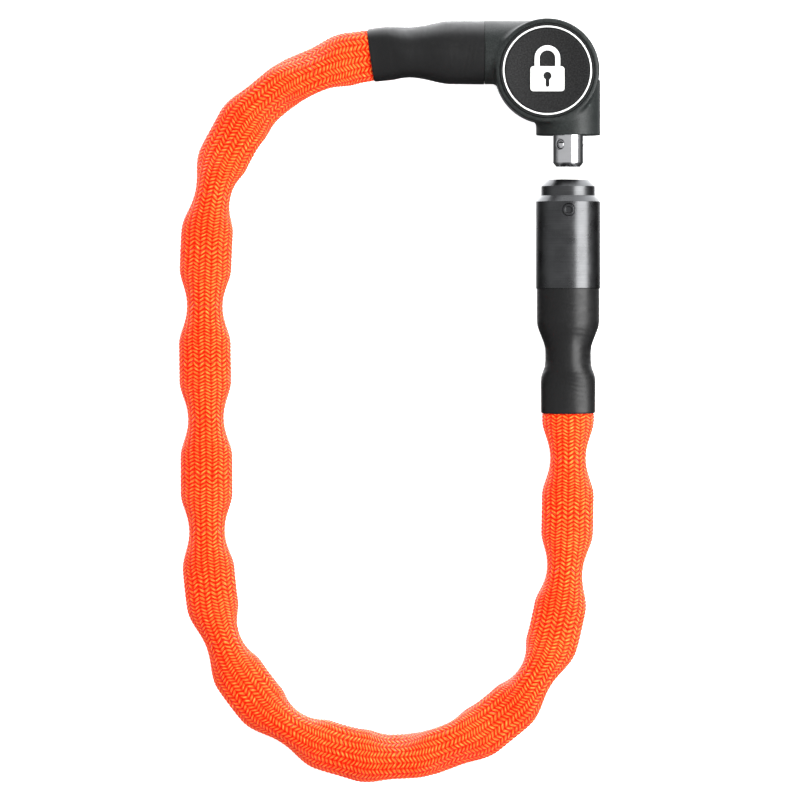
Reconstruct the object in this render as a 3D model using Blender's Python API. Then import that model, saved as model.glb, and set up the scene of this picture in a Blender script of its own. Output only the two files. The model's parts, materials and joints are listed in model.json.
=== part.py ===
"""Chain bike lock with a ball-lock stud, lying on its back on the plane z = 0.

A round lock head holds the key cylinder and the locking stud. A chain in a woven sleeve runs from
the head's side socket round to the barrel, which plugs onto the stud. Dimensions are in millimetres
and become metres when a mesh is made. +X runs to the head's right, +Y from the barrel to the head.
"""

import math

import bmesh
import bpy
from mathutils import Matrix, Vector

MM = 0.001
GAP = 0.3  # between pieces that touch on the real lock
PAST = 2.0  # how far a cutter runs past the face that it opens

# Chain: round wire links, each hooked through the last.
LINKS = 27
PITCH = 28.09  # from one contact to the next
WIRE = 3.1  # radius of the link wire
LINK_HALF_WIDTH = 11.5
SLACK = 1.3  # free play between two hooked links
LINK_INNER = PITCH + SLACK
TWIST_STEP = 18.0  # degrees between neighbours, beyond a quarter turn, where the chain twists
FIRST_TWIST = (1, 6)  # links over which the chain turns a quarter turn
SECOND_TWIST = (16, 21)  # links over which it turns back

# Woven sleeve: an oval tube that is wide across each link and narrow through its thickness.
SLEEVE_WIDE = 13.0
SLEEVE_NARROW = 8.9
SLEEVE_WALL = 0.4
SLEEVE_FULL_TO = 0.3  # share of the pitch from a link's centre that stays at full width
FIRMNESS = 0.85  # how closely the sleeve's line follows the links' own straight lines
SHRINK_PROUD = 0.4  # how far the heat-shrink stands out over the sleeve
SHRINK_WALL = 0.7

# Head: a drum with a side socket for the chain and a lower tube round the stud.
DRUM = Vector((78.2, 164.6))
DRUM_RADIUS = 26.3
DRUM_TOP = 32.8
AXIS_Z = 16.4  # height of the socket and stud axes
SOCKET_Y = DRUM.y + 9.4
SOCKET_RADIUS = 15.9
SOCKET_SHOULDER_X = 46.9
HEAD_MOUTH_X = -10.2  # where the heat-shrink ends
STUD_X = DRUM.x + 10.6
TUBE_RADIUS = 16.05
TUBE_FACE_Y = 132.5
NOSE_RECESS = 8.6
PLATE_SEAT = 23.6
CAVITY_RADIUS = 22.0
CAVITY_FLOOR = 4.2
CAVITY_CEILING = 28.6
FRONT_FLOOR = 31.0
FRONT_SEAT = 23.95
POST_ANGLES = (60.0, 155.0, 250.0)
POST_RING = 17.0

# Forks that hold the chain's end links.
FORK_RADIUS = 14.3
FORK_TIP_RADIUS = 10.6
FORK_HALF_SLOT = 4.0
PIN_HALF_LENGTH = 10.2

# Stud, plunger and locking balls.
STUD_RADIUS = 7.65
STUD_FLANGE_Y = 148.6
STUD_TIP_Y = TUBE_FACE_Y - 15.7
STUD_BORE = 4.5
STUD_BORE_END_Y = STUD_TIP_Y + 2.2
BALL_RADIUS = 2.3
BALL_Y = TUBE_FACE_Y - 4.5
BALL_REST = 5.5  # distance of a ball's centre from the stud axis when unlocked
BALL_TRAVEL = 1.05
BALL_ANGLES = (-34.0, 86.0, 206.0)  # round the stud, from +Z towards +X
PLUNGER_RADIUS = 4.15
PLUNGER_TRAVEL = 4.8
PLUNGER_TIP_Y = BALL_Y - 1.5
PLUNGER_ARM_Y = 156.0
PLUNGER_ARM_Z = 26.6

# Key cylinder, opened by a quarter turn.
CRANK_RADIUS = PLUNGER_TRAVEL / math.sqrt(2)
CRANK_PIN = 1.2
CRANK_Z = 24.3
PLUG_RADIUS = 4.9
SHELL_RADIUS = 7.5

# Keyhole cover in the back plate's recess.
RECESS_DEPTH = 1.9
RECESS_RADIUS = 19.5
COVER_ARM = 12.0

# Barrel, measured along its axis from the contact of the last link with its anchor pin.
BARREL_RADIUS = 16.07
BARREL_Z = AXIS_Z  # so that the barrel meets the stud
BARREL_SHOULDER = 14.4
BARREL_BODY_TOP = 57.9
BARREL_NOSE_BASE = 60.9
BARREL_NOSE_TOP = 68.9
BARREL_MOUTH = -47.0  # where the heat-shrink ends
NOSE_RADIUS = 13.45
SHELL_BORE = 12.3
MOUTH_RADIUS = 7.95
BORE_END = 42.9
GROOVE_AT = BARREL_NOSE_BASE - (TUBE_FACE_Y - BALL_Y)  # level with the balls when plugged in
RIVET_AT = 53.6

REST_Z = 0.15  # lowest point of the sleeve, which is flattened where it lies on the plane
CHAIN_Z = SLEEVE_WIDE + REST_Z - 0.3
# The chain's route, from its anchor in the head to its anchor in the barrel.
ROUTE = [
    (30.7, SOCKET_Y, AXIS_Z),
    (12.0, SOCKET_Y, AXIS_Z),
    (-5.0, SOCKET_Y - 0.2, AXIS_Z),
    (-27.0, 169.9, 15.3),
    (-45.0, 162.8, 13.9),
    (-61.0, 153.0, CHAIN_Z + 0.25),
    (-75.0, 138.0, CHAIN_Z),
    (-85.5, 118.5, CHAIN_Z),
    (-91.0, 95.0, CHAIN_Z),
    (-92.8, 60.0, CHAIN_Z),
    (-92.8, 20.0, CHAIN_Z),
    (-92.0, -25.0, CHAIN_Z),
    (-91.8, -70.0, CHAIN_Z),
    (-89.7, -102.0, CHAIN_Z),
    (-80.8, -129.5, CHAIN_Z),
    (-64.0, -153.8, CHAIN_Z),
    (-40.0, -170.3, CHAIN_Z),
    (-12.0, -178.6, CHAIN_Z),
    (15.0, -178.0, CHAIN_Z),
    (43.0, -167.6, CHAIN_Z),
    (62.9, -152.7, CHAIN_Z),
    (80.2, -125.3, CHAIN_Z),
    (86.5, -95.0, CHAIN_Z),
    (88.6, -65.0, CHAIN_Z),
    (88.8, -45.0, CHAIN_Z + 0.5),
    (88.8, -15.0, BARREL_Z - 1.1),
    (88.8, 11.0, BARREL_Z),
    (88.8, 25.0, BARREL_Z),
    (88.8, 60.0, BARREL_Z),
]


# ---------------------------------------------------------------- building blocks


def material(name, colour, roughness, metallic=0.0):
    made = bpy.data.materials.new(name)
    made.use_nodes = True
    shader = made.node_tree.nodes["Principled BSDF"]
    shader.inputs["Base Color"].default_value = (*colour, 1.0)
    shader.inputs["Roughness"].default_value = roughness
    shader.inputs["Metallic"].default_value = metallic
    return made


def add_object(name, points, faces, finish, place=None):
    """An object with its points in millimetres in the frame of place, facing outwards."""
    mesh = bpy.data.meshes.new(name)
    mesh.from_pydata([Vector(p) * MM for p in points], [], faces)
    shape = bmesh.new()
    shape.from_mesh(mesh)
    bmesh.ops.recalc_face_normals(shape, faces=shape.faces)
    shape.to_mesh(mesh)
    shape.free()
    mesh.shade_smooth()
    mesh.set_sharp_from_angle(angle=math.radians(30))
    mesh.materials.append(finish)
    made = bpy.data.objects.new(name, mesh)
    bpy.context.scene.collection.objects.link(made)
    if place is not None:
        made.matrix_world = Matrix.Translation(place.translation * MM) @ place.to_3x3().to_4x4()
    return made


def axis_place(origin, direction):
    """A frame at origin whose Z axis points along direction."""
    turn = Vector(direction).to_track_quat("Z", "Y").to_matrix().to_4x4()
    return Matrix.Translation(Vector(origin)) @ turn


def ring(radius, height, sides):
    steps = (2 * math.pi * n / sides for n in range(sides))
    return [Vector((radius * math.cos(a), radius * math.sin(a), height)) for a in steps]


def turned(name, profile, finish, place=None, sides=32):
    """A turned solid from (radius, height) points. It closes on itself if it is off the axis."""
    points, rows = [], []
    for radius, height in profile:
        new = ring(radius, height, sides) if radius > 0 else [Vector((0, 0, height))]
        rows.append([len(points) + n for n in range(len(new))])
        points += new
    pairs = list(zip(rows, rows[1:]))
    if profile[0][0] > 0:
        pairs.append((rows[-1], rows[0]))
    faces = []
    for low, high in pairs:
        for n in range(sides):
            after = (n + 1) % sides
            if len(low) == 1:
                faces.append((low[0], high[n], high[after]))
            elif len(high) == 1:
                faces.append((low[n], low[after], high[0]))
            else:
                faces.append((low[n], low[after], high[after], high[n]))
    return add_object(name, points, faces, finish, place)


def cylinder(name, radius, low, high, finish, place=None, sides=32):
    profile = [(0, low), (radius, low), (radius, high), (0, high)]
    return turned(name, profile, finish, place, sides)


def block(name, low, high, finish, place=None):
    corners = [(x, y, z) for z in (low[2], high[2]) for y in (low[1], high[1]) for x in (low[0], high[0])]
    faces = [(0, 1, 3, 2), (4, 5, 7, 6), (0, 1, 5, 4), (2, 3, 7, 6), (0, 2, 6, 4), (1, 3, 7, 5)]
    return add_object(name, corners, faces, finish, place)


def plate(name, outline, low, high, finish, place=None):
    """A flat plate with the outline's (x, y) points, between two heights."""
    count = len(outline)
    points = [(x, y, z) for z in (low, high) for x, y in outline]
    faces = [tuple(range(count)), tuple(range(count, 2 * count))]
    faces += [(n, (n + 1) % count, count + (n + 1) % count, count + n) for n in range(count)]
    return add_object(name, points, faces, finish, place)


def skin(rings, closed=False):
    """Faces between rings of equal size, given as lists of point numbers."""
    pairs = list(zip(rings, rings[1:]))
    if closed:
        pairs.append((rings[-1], rings[0]))
    sides = len(rings[0])
    return [
        (low[n], low[(n + 1) % sides], high[(n + 1) % sides], high[n])
        for low, high in pairs
        for n in range(sides)
    ]


def combine(target, tool, operation):
    """Cuts the tool from the target, or joins it on, and hides the tool."""
    step = target.modifiers.new(f"{operation.lower()} {tool.name}", "BOOLEAN")
    step.operation = operation
    step.solver = "EXACT"
    step.object = tool
    tool.hide_render = True
    tool.display_type = "WIRE"


def cut(target, *tools):
    for tool in tools:
        combine(target, tool, "DIFFERENCE")


def join(target, *tools):
    for tool in tools:
        combine(target, tool, "UNION")


# ---------------------------------------------------------------- the chain's line


def smooth_route(points, steps=60):
    """Points along a Catmull-Rom curve through the route."""
    spots = [Vector(p) for p in points]
    spots = [2 * spots[0] - spots[1], *spots, 2 * spots[-1] - spots[-2]]
    line = []
    for before, start, end, after in zip(spots, spots[1:], spots[2:], spots[3:]):
        for n in range(steps):
            t = n / steps
            line.append(
                0.5
                * (
                    2 * start
                    + (end - before) * t
                    + (2 * before - 5 * start + 4 * end - after) * t**2
                    + (3 * start - before - 3 * end + after) * t**3
                )
            )
    return [*line, spots[-2]]


def chain_contacts():
    """Where each link touches the next: points a pitch apart along the route."""
    line = smooth_route(ROUTE)
    found, at = [line[0]], 0
    while len(found) <= LINKS:
        while (line[at + 1] - found[-1]).length < PITCH:
            at += 1
        near, far = line[at] - found[-1], line[at + 1] - found[-1]
        share = (PITCH - near.length) / (far.length - near.length)
        found.append(found[-1] + near.lerp(far, share))
    return found


CONTACTS = chain_contacts()
CENTRES = [(a + b) / 2 for a, b in zip(CONTACTS, CONTACTS[1:])]
LAST_CONTACT = CONTACTS[-1]


def link_roll(number):
    """Angle in degrees from flat to the plane of a link, which is numbered from 1 at the head."""
    steps = TWIST_STEP * (min(max(number, FIRST_TWIST[0]), FIRST_TWIST[1]) - FIRST_TWIST[0])
    steps -= TWIST_STEP * (min(max(number, SECOND_TWIST[0]), SECOND_TWIST[1]) - SECOND_TWIST[0])
    return 90.0 * number - steps


def frame_at(point, tangent):
    """A frame whose Z axis is the tangent and whose X axis is level, pointing into the loop."""
    level = Vector((0, 0, 1)).cross(tangent).normalized()
    up = tangent.cross(level).normalized()
    return Matrix.Translation(point) @ Matrix((level, up, tangent)).transposed().to_4x4()


def link_frame(number):
    """A link's frame: Z along the chain and X across the link's width."""
    along = (CONTACTS[number] - CONTACTS[number - 1]).normalized()
    return frame_at(CENTRES[number - 1], along) @ Matrix.Rotation(math.radians(link_roll(number)), 4, "Z")


def chain_place(u):
    """The frame on the chain's line at u pitches from the first link's centre."""
    last = LINKS - 1
    if u <= 0 or u >= last:
        number = 1 if u <= 0 else LINKS
        along = (CONTACTS[number] - CONTACTS[number - 1]).normalized()
        beyond = u if u <= 0 else u - last
        return frame_at(CENTRES[number - 1] + along * beyond * PITCH, along)
    k = min(int(u), last - 1)
    t = u - k
    start, bend, end = CENTRES[k], CONTACTS[k + 1], CENTRES[k + 1]
    leave, arrive = start.lerp(bend, FIRMNESS), end.lerp(bend, FIRMNESS)
    point = (1 - t) ** 3 * start + 3 * t * (1 - t) ** 2 * leave + 3 * t**2 * (1 - t) * arrive + t**3 * end
    along = (1 - t) ** 2 * (leave - start) + 2 * t * (1 - t) * (arrive - leave) + t**2 * (end - arrive)
    return frame_at(point, along.normalized())


def link_share(distance):
    """How much of a link's width shows at a distance from its centre, in pitches."""
    t = (distance - SLEEVE_FULL_TO) / (1 - SLEEVE_FULL_TO)
    t = min(max(t, 0.0), 1.0)
    return 1 - t * t * (3 - 2 * t)


def sleeve_radius(u, angle):
    """The sleeve's outer radius in a direction round the chain's line."""
    k = min(max(int(u), 0), LINKS - 2)
    swell = sum(
        link_share(abs(u - n)) * math.cos(angle - math.radians(link_roll(n + 1))) ** 2 for n in (k, k + 1)
    )
    return SLEEVE_NARROW + (SLEEVE_WIDE - SLEEVE_NARROW) * swell


def tube_along(name, stations, radius_at, wall, finish, sides):
    """A thin-walled tube along the chain's line, whose outer radius is radius_at(station, angle)."""
    points, outer, inner = [], [], []
    angles = [2 * math.pi * n / sides for n in range(sides)]
    for u in stations:
        place = chain_place(u)
        for rows, less in ((outer, 0.0), (inner, wall)):
            rows.append([len(points) + n for n in range(sides)])
            for a in angles:
                radius = radius_at(u, a) - less
                point = place @ Vector((radius * math.cos(a), radius * math.sin(a), 0))
                point.z = max(point.z, REST_Z + less)
                points.append(point)
    faces = skin(outer) + skin(inner)
    faces += skin([outer[0], inner[0]]) + skin([outer[-1], inner[-1]])
    return add_object(name, points, faces, finish)


def even_steps(start, end, step):
    count = max(2, math.ceil((end - start) / step))
    return [start + (end - start) * n / count for n in range(count + 1)]


def between(stations, u):
    """Values interpolated between stations of (u, value, value, ...)."""
    if u <= stations[0][0]:
        return stations[0][1:]
    for low, high in zip(stations, stations[1:]):
        if u <= high[0]:
            share = (u - low[0]) / (high[0] - low[0])
            share = share * share * (3 - 2 * share)
            return [a + (b - a) * share for a, b in zip(low[1:], high[1:])]
    return stations[-1][1:]


def head_station(x):
    """Position on the chain's line, in pitches, of a point in the head's socket."""
    return (CENTRES[0].x - x) / PITCH


def barrel_station(along):
    return LINKS - 1 + (along + PITCH / 2) / PITCH


# ---------------------------------------------------------------- chain


def link_piece(number, finish):
    """One link. Its origin is its contact with the link before it, on the joint between them."""
    half_width = LINK_HALF_WIDTH - WIRE
    straight = LINK_INNER / 2 + WIRE - half_width
    end_steps, sides = 6, 6
    points, rings = [], []
    for end in (1, -1):
        for n in range(end_steps + 1):
            turn = math.pi * (n / end_steps - 0.5) + (0 if end > 0 else math.pi)
            out = Vector((math.sin(turn), 0, math.cos(turn)))
            middle = half_width * out + Vector((0, 0, end * straight + PITCH / 2))
            rings.append([len(points) + m for m in range(sides)])
            for m in range(sides):
                a = 2 * math.pi * m / sides
                points.append(middle + WIRE * (math.cos(a) * out + math.sin(a) * Vector((0, 1, 0))))
    place = link_frame(number)
    place.translation = CONTACTS[number - 1]
    return add_object(f"link_{number:02d}", points, skin(rings, closed=True), finish, place)


def woven_sleeve(finish):
    start = head_station(HEAD_MOUTH_X - GAP)
    end = barrel_station(BARREL_MOUTH - GAP)
    return tube_along("sleeve", even_steps(start, end, 0.42), sleeve_radius, SLEEVE_WALL, finish, 16)


def heat_shrink(name, stations, finish):
    """A tube over a fork, the end link and the sleeve's end, from (station, radius) pairs."""

    def radius_at(u, angle):
        return max(between(stations, u)[0], sleeve_radius(u, angle) + SHRINK_PROUD)

    ends = stations[0][0], stations[-1][0]
    return tube_along(name, even_steps(*ends, 0.2), radius_at, SHRINK_WALL, finish, 16)


def head_heat_shrink(finish):
    stations = [(SOCKET_SHOULDER_X - GAP, 15.9), (29.7, 15.9), (10.0, 12.5), (0.0, 13.2)]
    stations.append((HEAD_MOUTH_X, 12.8))
    return heat_shrink("head_heat_shrink", [(head_station(x), radius) for x, radius in stations], finish)


def barrel_heat_shrink(finish):
    stations = [(BARREL_MOUTH, 12.9), (-29.0, 13.2), (-23.0, 11.4), (-16.5, 11.4), (-1.5, 15.6)]
    stations.append((BARREL_SHOULDER - GAP, 15.6))
    return heat_shrink("barrel_heat_shrink", [(barrel_station(d), radius) for d, radius in stations], finish)


def fork_cutters(name, contact, into, across):
    """The slot for the end link and the hole for its pin. into points from the chain into the fork."""
    place = Matrix((across, Vector((0, 0, 1)).cross(across), (0, 0, 1))).transposed().to_4x4()
    place.translation = contact
    side = 1 if place.to_3x3().col[1].dot(into) > 0 else -1
    ends = sorted((side * (SLACK / 2 + 2 * WIRE + GAP), -side * 40.0))
    low = (-FORK_HALF_SLOT, ends[0], -SOCKET_RADIUS - PAST)
    high = (FORK_HALF_SLOT, ends[1], SOCKET_RADIUS + PAST)
    slot = block(f"{name}_slot_cutter", low, high, CUTTER, place)
    pin_place = axis_place(pin_centre(contact, into), across)
    length = SOCKET_RADIUS + PAST
    hole = cylinder(f"{name}_pin_cutter", WIRE + GAP, -length, length, CUTTER, pin_place, 20)
    return slot, hole


def pin_centre(contact, into):
    return contact - (SLACK / 2 + WIRE) * Vector(into)


def anchor_pin(name, contact, into, across, finish):
    place = axis_place(pin_centre(contact, into), across)
    tip = WIRE - 0.5
    profile = [(0, -PIN_HALF_LENGTH), (tip, -PIN_HALF_LENGTH), (WIRE, -PIN_HALF_LENGTH + 0.5)]
    profile += [(radius, -height) for radius, height in reversed(profile)]
    return turned(name, profile, finish, place, 20)


# ---------------------------------------------------------------- head


def drum_place(x=0.0, y=0.0, z=0.0):
    return Matrix.Translation((DRUM.x + x, DRUM.y + y, z))


def stud_place(y):
    """A frame on the stud's axis whose Z axis points from the head to the stud's tip."""
    return axis_place((STUD_X, y, AXIS_Z), (0, -1, 0))


def post_spots():
    angles = [math.radians(a) for a in POST_ANGLES]
    return [(POST_RING * math.cos(a), POST_RING * math.sin(a)) for a in angles]


def head_housing(finish):
    """The drum, hollow from the back, with seats for its front and back plates and a post for each screw."""
    top, radius = DRUM_TOP, DRUM_RADIUS
    profile = [(0, CAVITY_CEILING), (CAVITY_RADIUS, CAVITY_CEILING), (CAVITY_RADIUS, CAVITY_FLOOR)]
    profile += [(PLATE_SEAT, CAVITY_FLOOR), (PLATE_SEAT, 0), (radius - 0.8, 0), (radius, 0.8)]
    profile += [(radius, top - 0.9), (radius - 0.9, top), (FRONT_SEAT, top), (FRONT_SEAT, FRONT_FLOOR)]
    housing = turned("head_housing", profile + [(0, FRONT_FLOOR)], finish, drum_place(), 48)
    join(housing, socket_solid(), tube_solid())
    for n, (x, y) in enumerate(post_spots(), 1):
        place = drum_place(x, y)
        join(housing, cylinder(f"post_{n}", 3.2, CAVITY_FLOOR, CAVITY_CEILING + 1, CUTTER, place, 12))
        cut(housing, cylinder(f"post_cutter_{n}", 1.75, CAVITY_FLOOR - PAST, 12, CUTTER, place, 12))
    cut(housing, recess_cutter(), stud_cutter())
    cut(housing, *fork_cutters("head_fork", CONTACTS[0], Vector((1, 0, 0)), Vector((0, 1, 0))))
    return housing


def socket_solid():
    shoulder = DRUM.x - SOCKET_SHOULDER_X
    fork_from = DRUM.x - CONTACTS[0].x
    profile = [(0, 5.0), (SOCKET_RADIUS, 5.0), (SOCKET_RADIUS, shoulder - 0.4)]
    profile += [(SOCKET_RADIUS - 0.4, shoulder), (FORK_RADIUS, shoulder), (FORK_RADIUS, fork_from + 1)]
    profile += [(FORK_TIP_RADIUS, fork_from + 10), (0, fork_from + 10)]
    place = axis_place((DRUM.x, SOCKET_Y, AXIS_Z), (-1, 0, 0))
    socket = turned("socket_guide", profile, CUTTER, place, 32)
    cut(socket, drum_core("socket_core"))
    return socket


def tube_solid():
    depth = DRUM.y - TUBE_FACE_Y
    profile = [(0, 5.0), (TUBE_RADIUS, 5.0), (TUBE_RADIUS, depth - 0.7), (TUBE_RADIUS - 0.7, depth)]
    profile.append((0, depth))
    tube = turned("tube_guide", profile, CUTTER, stud_place(DRUM.y), 32)
    cut(tube, drum_core("tube_core"))
    return tube


def drum_core(name):
    """Keeps what joins the drum out of its hollow, by ending it inside the drum's wall."""
    radius = (CAVITY_RADIUS + DRUM_RADIUS) / 2
    return cylinder(name, radius, -PAST, DRUM_TOP + PAST, CUTTER, drum_place(), 48)


def recess_cutter():
    radius = NOSE_RADIUS + 0.5
    profile = [(0, -NOSE_RECESS), (radius - 3.0, -NOSE_RECESS), (radius, 3.3 - NOSE_RECESS)]
    profile += [(radius, PAST), (0, PAST)]
    return turned("nose_recess_cutter", profile, CUTTER, stud_place(TUBE_FACE_Y), 32)


def stud_cutter():
    """The stud's hole through the tube's floor, and the pocket for its flange."""
    flange_face = STUD_FLANGE_Y - 4.3
    profile = [(0, -12.0), (10.8, -12.0), (10.8, STUD_FLANGE_Y - flange_face)]
    profile += [(STUD_RADIUS + GAP, STUD_FLANGE_Y - flange_face), (STUD_RADIUS + GAP, 12.0), (0, 12.0)]
    return turned("stud_cutter", profile, CUTTER, stud_place(STUD_FLANGE_Y), 32)


def front_pieces(dark, charcoal, white):
    low = FRONT_FLOOR + GAP
    bezel = [(22.75, low), (23.65, low), (23.65, DRUM_TOP), (22.75, DRUM_TOP)]
    turned("front_bezel", bezel, dark, drum_place(), 40)
    ring_top = DRUM_TOP - 0.2
    white_ring = [(21.25, low), (22.45, low), (22.45, ring_top), (21.25, ring_top)]
    turned("front_ring", white_ring, white, drum_place(), 40)
    cylinder("front_disc", 20.95, low, DRUM_TOP - 0.6, charcoal, drum_place(), 40)
    emblem(white)


def emblem(finish):
    """A plain padlock sign, as a thin raised plate."""
    low, high = DRUM_TOP - 0.3, DRUM_TOP
    sign = block("front_emblem", (-8.5, -10.5, low), (8.5, 2.0, high), finish, drum_place())
    outer = arch(6.4, 5.0)
    inner = list(reversed(arch(3.9, 5.0)))
    shackle = plate("emblem_shackle", outer + inner, low, high, CUTTER, drum_place(0, 1.0))
    join(sign, shackle)
    cut(sign, cylinder("emblem_hole", 2.0, low - 1, high + 1, CUTTER, drum_place(0, -2.8), 20))
    cut(sign, block("emblem_slot", (-0.9, -8.0, low - 1), (0.9, -3.0, high + 1), CUTTER, drum_place()))
    return sign


def arch(radius, leg):
    """Half a circle on two legs, from the right foot to the left."""
    turns = [math.pi * n / 12 for n in range(13)]
    top = [(radius * math.cos(a), leg + radius * math.sin(a)) for a in turns]
    return [(radius, 0.0), *top, (-radius, 0.0)]


def locking_stud(finish):
    length = STUD_FLANGE_Y - STUD_TIP_Y
    bore_end = STUD_FLANGE_Y - STUD_BORE_END_Y
    profile = [(0, bore_end), (STUD_BORE, bore_end), (STUD_BORE, 0), (10.4, 0), (10.4, 4.0)]
    profile += [(STUD_RADIUS, 4.0), (STUD_RADIUS, length - 2.1), (6.0, length), (0, length)]
    stud = turned("locking_stud", profile, finish, stud_place(STUD_FLANGE_Y), 32)
    for n, direction in enumerate(ball_directions(), 1):
        place = axis_place((STUD_X, BALL_Y, AXIS_Z), direction)
        cut(stud, cylinder(f"ball_cutter_{n}", BALL_RADIUS + 0.15, 3.0, 9.0, CUTTER, place, 16))
    return stud


def ball_directions():
    return [Vector((math.sin(a), 0, math.cos(a))) for a in map(math.radians, BALL_ANGLES)]


def locking_balls(finish):
    steps = 6
    for n, direction in enumerate(ball_directions(), 1):
        turns = [math.pi * m / steps for m in range(steps + 1)]
        profile = [(abs(BALL_RADIUS * math.sin(a)), -BALL_RADIUS * math.cos(a)) for a in turns]
        profile[0], profile[-1] = (0, -BALL_RADIUS), (0, BALL_RADIUS)
        centre = Vector((STUD_X, BALL_Y, AXIS_Z)) + BALL_REST * direction
        turned(f"locking_ball_{n}", profile, finish, axis_place(centre, direction), 12)


def plunger(finish):
    """The rod that wedges the balls out, with an arm over the crank's pin."""
    slope = BALL_TRAVEL / PLUNGER_TRAVEL
    lean = math.cos(math.atan(slope))
    under_ball = BALL_REST - BALL_RADIUS / lean - 0.1
    tip_radius = under_ball - slope * (BALL_Y - PLUNGER_TIP_Y)
    wedge_end = PLUNGER_TIP_Y + (PLUNGER_RADIUS - tip_radius) / slope
    base = PLUNGER_ARM_Y + 1.2
    profile = [(0, 0), (PLUNGER_RADIUS, 0), (PLUNGER_RADIUS, base - wedge_end)]
    profile += [(tip_radius, base - PLUNGER_TIP_Y), (0, base - PLUNGER_TIP_Y)]
    rod = turned("plunger", profile, finish, stud_place(base), 24)
    top = PLUNGER_ARM_Z + 1.6
    riser_low = (STUD_X - 3.8, PLUNGER_ARM_Y, AXIS_Z - 4.3)
    riser = block("plunger_riser", riser_low, (STUD_X + 3.8, PLUNGER_ARM_Y + 2.4, top), CUTTER)
    arm_low = (DRUM.x + 0.2, PLUNGER_ARM_Y + 0.2, PLUNGER_ARM_Z)
    arm = block("plunger_arm", arm_low, (STUD_X + 3.6, DRUM.y + 5.6, top - 0.1), CUTTER)
    join(rod, riser, arm)
    pin_y = DRUM.y + PLUNGER_TRAVEL / 2
    reach = CRANK_PIN + 0.25
    low = (DRUM.x + CRANK_RADIUS / math.sqrt(2) - reach, pin_y - reach, PLUNGER_ARM_Z - 1)
    high = (DRUM.x + CRANK_RADIUS + reach, pin_y + reach, top + 1)
    cut(rod, block("crank_slot_cutter", low, high, CUTTER))
    return rod


def plunger_spring(finish):
    """A coil between the end of the stud's bore and the plunger's tip."""
    turns, radius, wire = 3.5, 3.0, 0.4
    low, high = STUD_BORE_END_Y + GAP + wire, PLUNGER_TIP_Y - GAP - wire
    steps, sides = 32, 5
    points, rings = [], []
    for n in range(steps + 1):
        a = 2 * math.pi * turns * n / steps
        out = Vector((math.cos(a), 0, math.sin(a)))
        middle = Vector((STUD_X, low + (high - low) * n / steps, AXIS_Z)) + radius * out
        rings.append([len(points) + m for m in range(sides)])
        for m in range(sides):
            b = 2 * math.pi * m / sides
            points.append(middle + wire * (math.cos(b) * out + math.sin(b) * Vector((0, 1, 0))))
    faces = skin(rings) + [tuple(rings[0]), tuple(rings[-1])]
    return add_object("plunger_spring", points, faces, finish)


def key_cylinder(brass, steel):
    low, high = CAVITY_FLOOR, CRANK_Z - 0.7
    bore = PLUG_RADIUS + GAP
    profile = [(bore, low), (10.5, low), (10.5, low + 1.4), (SHELL_RADIUS, low + 1.4), (SHELL_RADIUS, high)]
    turned("cylinder_shell", profile + [(bore, high)], steel, drum_place(), 32)
    face = RECESS_DEPTH + 0.3
    top = CRANK_Z - GAP
    profile = [(0, face), (PLUG_RADIUS - 0.3, face), (PLUG_RADIUS, face + 0.3), (PLUG_RADIUS, top), (0, top)]
    plug = turned("cylinder_plug", profile, brass, drum_place(), 24)
    cut(plug, block("keyway_cutter", (-0.9, -3.6, 0), (0.9, 3.6, 20), CUTTER, drum_place()))
    crank = cylinder("drive_crank", 6.0, CRANK_Z, CRANK_Z + 2, steel, drum_place(), 24)
    offset = CRANK_RADIUS / math.sqrt(2)
    pin_top = PLUNGER_ARM_Z + 1.6
    pin_place = drum_place(offset, offset)
    join(crank, cylinder("crank_pin", CRANK_PIN, CRANK_Z + 1, pin_top, CUTTER, pin_place, 12))


def back_plate(finish):
    """The plate that closes the drum's back, with a recess for the keyhole cover."""
    hole, top = PLUG_RADIUS + GAP, CAVITY_FLOOR - GAP
    outer = PLATE_SEAT - GAP
    profile = [(hole, RECESS_DEPTH), (RECESS_RADIUS, RECESS_DEPTH), (RECESS_RADIUS, 0), (outer - 0.4, 0)]
    profile += [(outer, 0.4), (outer, top), (hole, top)]
    cover = turned("back_plate", profile, finish, drum_place(), 40)
    for n, (x, y) in enumerate(post_spots(), 1):
        steps = [(0, 0), (2.8, 0), (2.8, 3.1), (1.7, 3.1), (1.7, 8.0), (0, 8.0)]
        cut(cover, turned(f"screw_cutter_{n}", steps, CUTTER, drum_place(x, y), 16))
    cut(cover, cylinder("rivet_cutter", 1.8, 0, 8, CUTTER, drum_place(-COVER_ARM), 16))
    return cover


def back_screws(finish):
    face = RECESS_DEPTH + 0.1
    profile = [(0, face), (2.5, face), (2.5, 2.8), (1.4, 2.8), (1.4, 11.0), (0, 11.0)]
    for n, (x, y) in enumerate(post_spots(), 1):
        turned(f"back_screw_{n}", profile, finish, drum_place(x, y), 16)


def keyhole_cover(finish, rivet_finish):
    """A leaf that swings aside on a rivet. Its origin is on the rivet's axis."""
    disc, ear = 6.6, 3.0
    lean = math.degrees(math.acos((disc - ear) / COVER_ARM))
    edge = 180 - lean
    outline = arc_points(COVER_ARM, disc, -edge, edge, 20) + arc_points(0, ear, edge, 360 - edge, 10)
    low = RECESS_DEPTH - 1.0
    leaf = plate("keyhole_cover", outline, low, RECESS_DEPTH - GAP, finish, drum_place(-COVER_ARM))
    cut(leaf, cylinder("leaf_cutter", 1.8, low - 1, RECESS_DEPTH + 1, CUTTER, drum_place(-COVER_ARM), 16))
    profile = [(0, 0.15), (2.2, 0.15), (2.5, 0.4), (2.5, low - GAP), (1.5, low - GAP), (1.5, 3.8), (0, 3.8)]
    turned("cover_rivet", profile, rivet_finish, drum_place(-COVER_ARM), 16)


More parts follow.
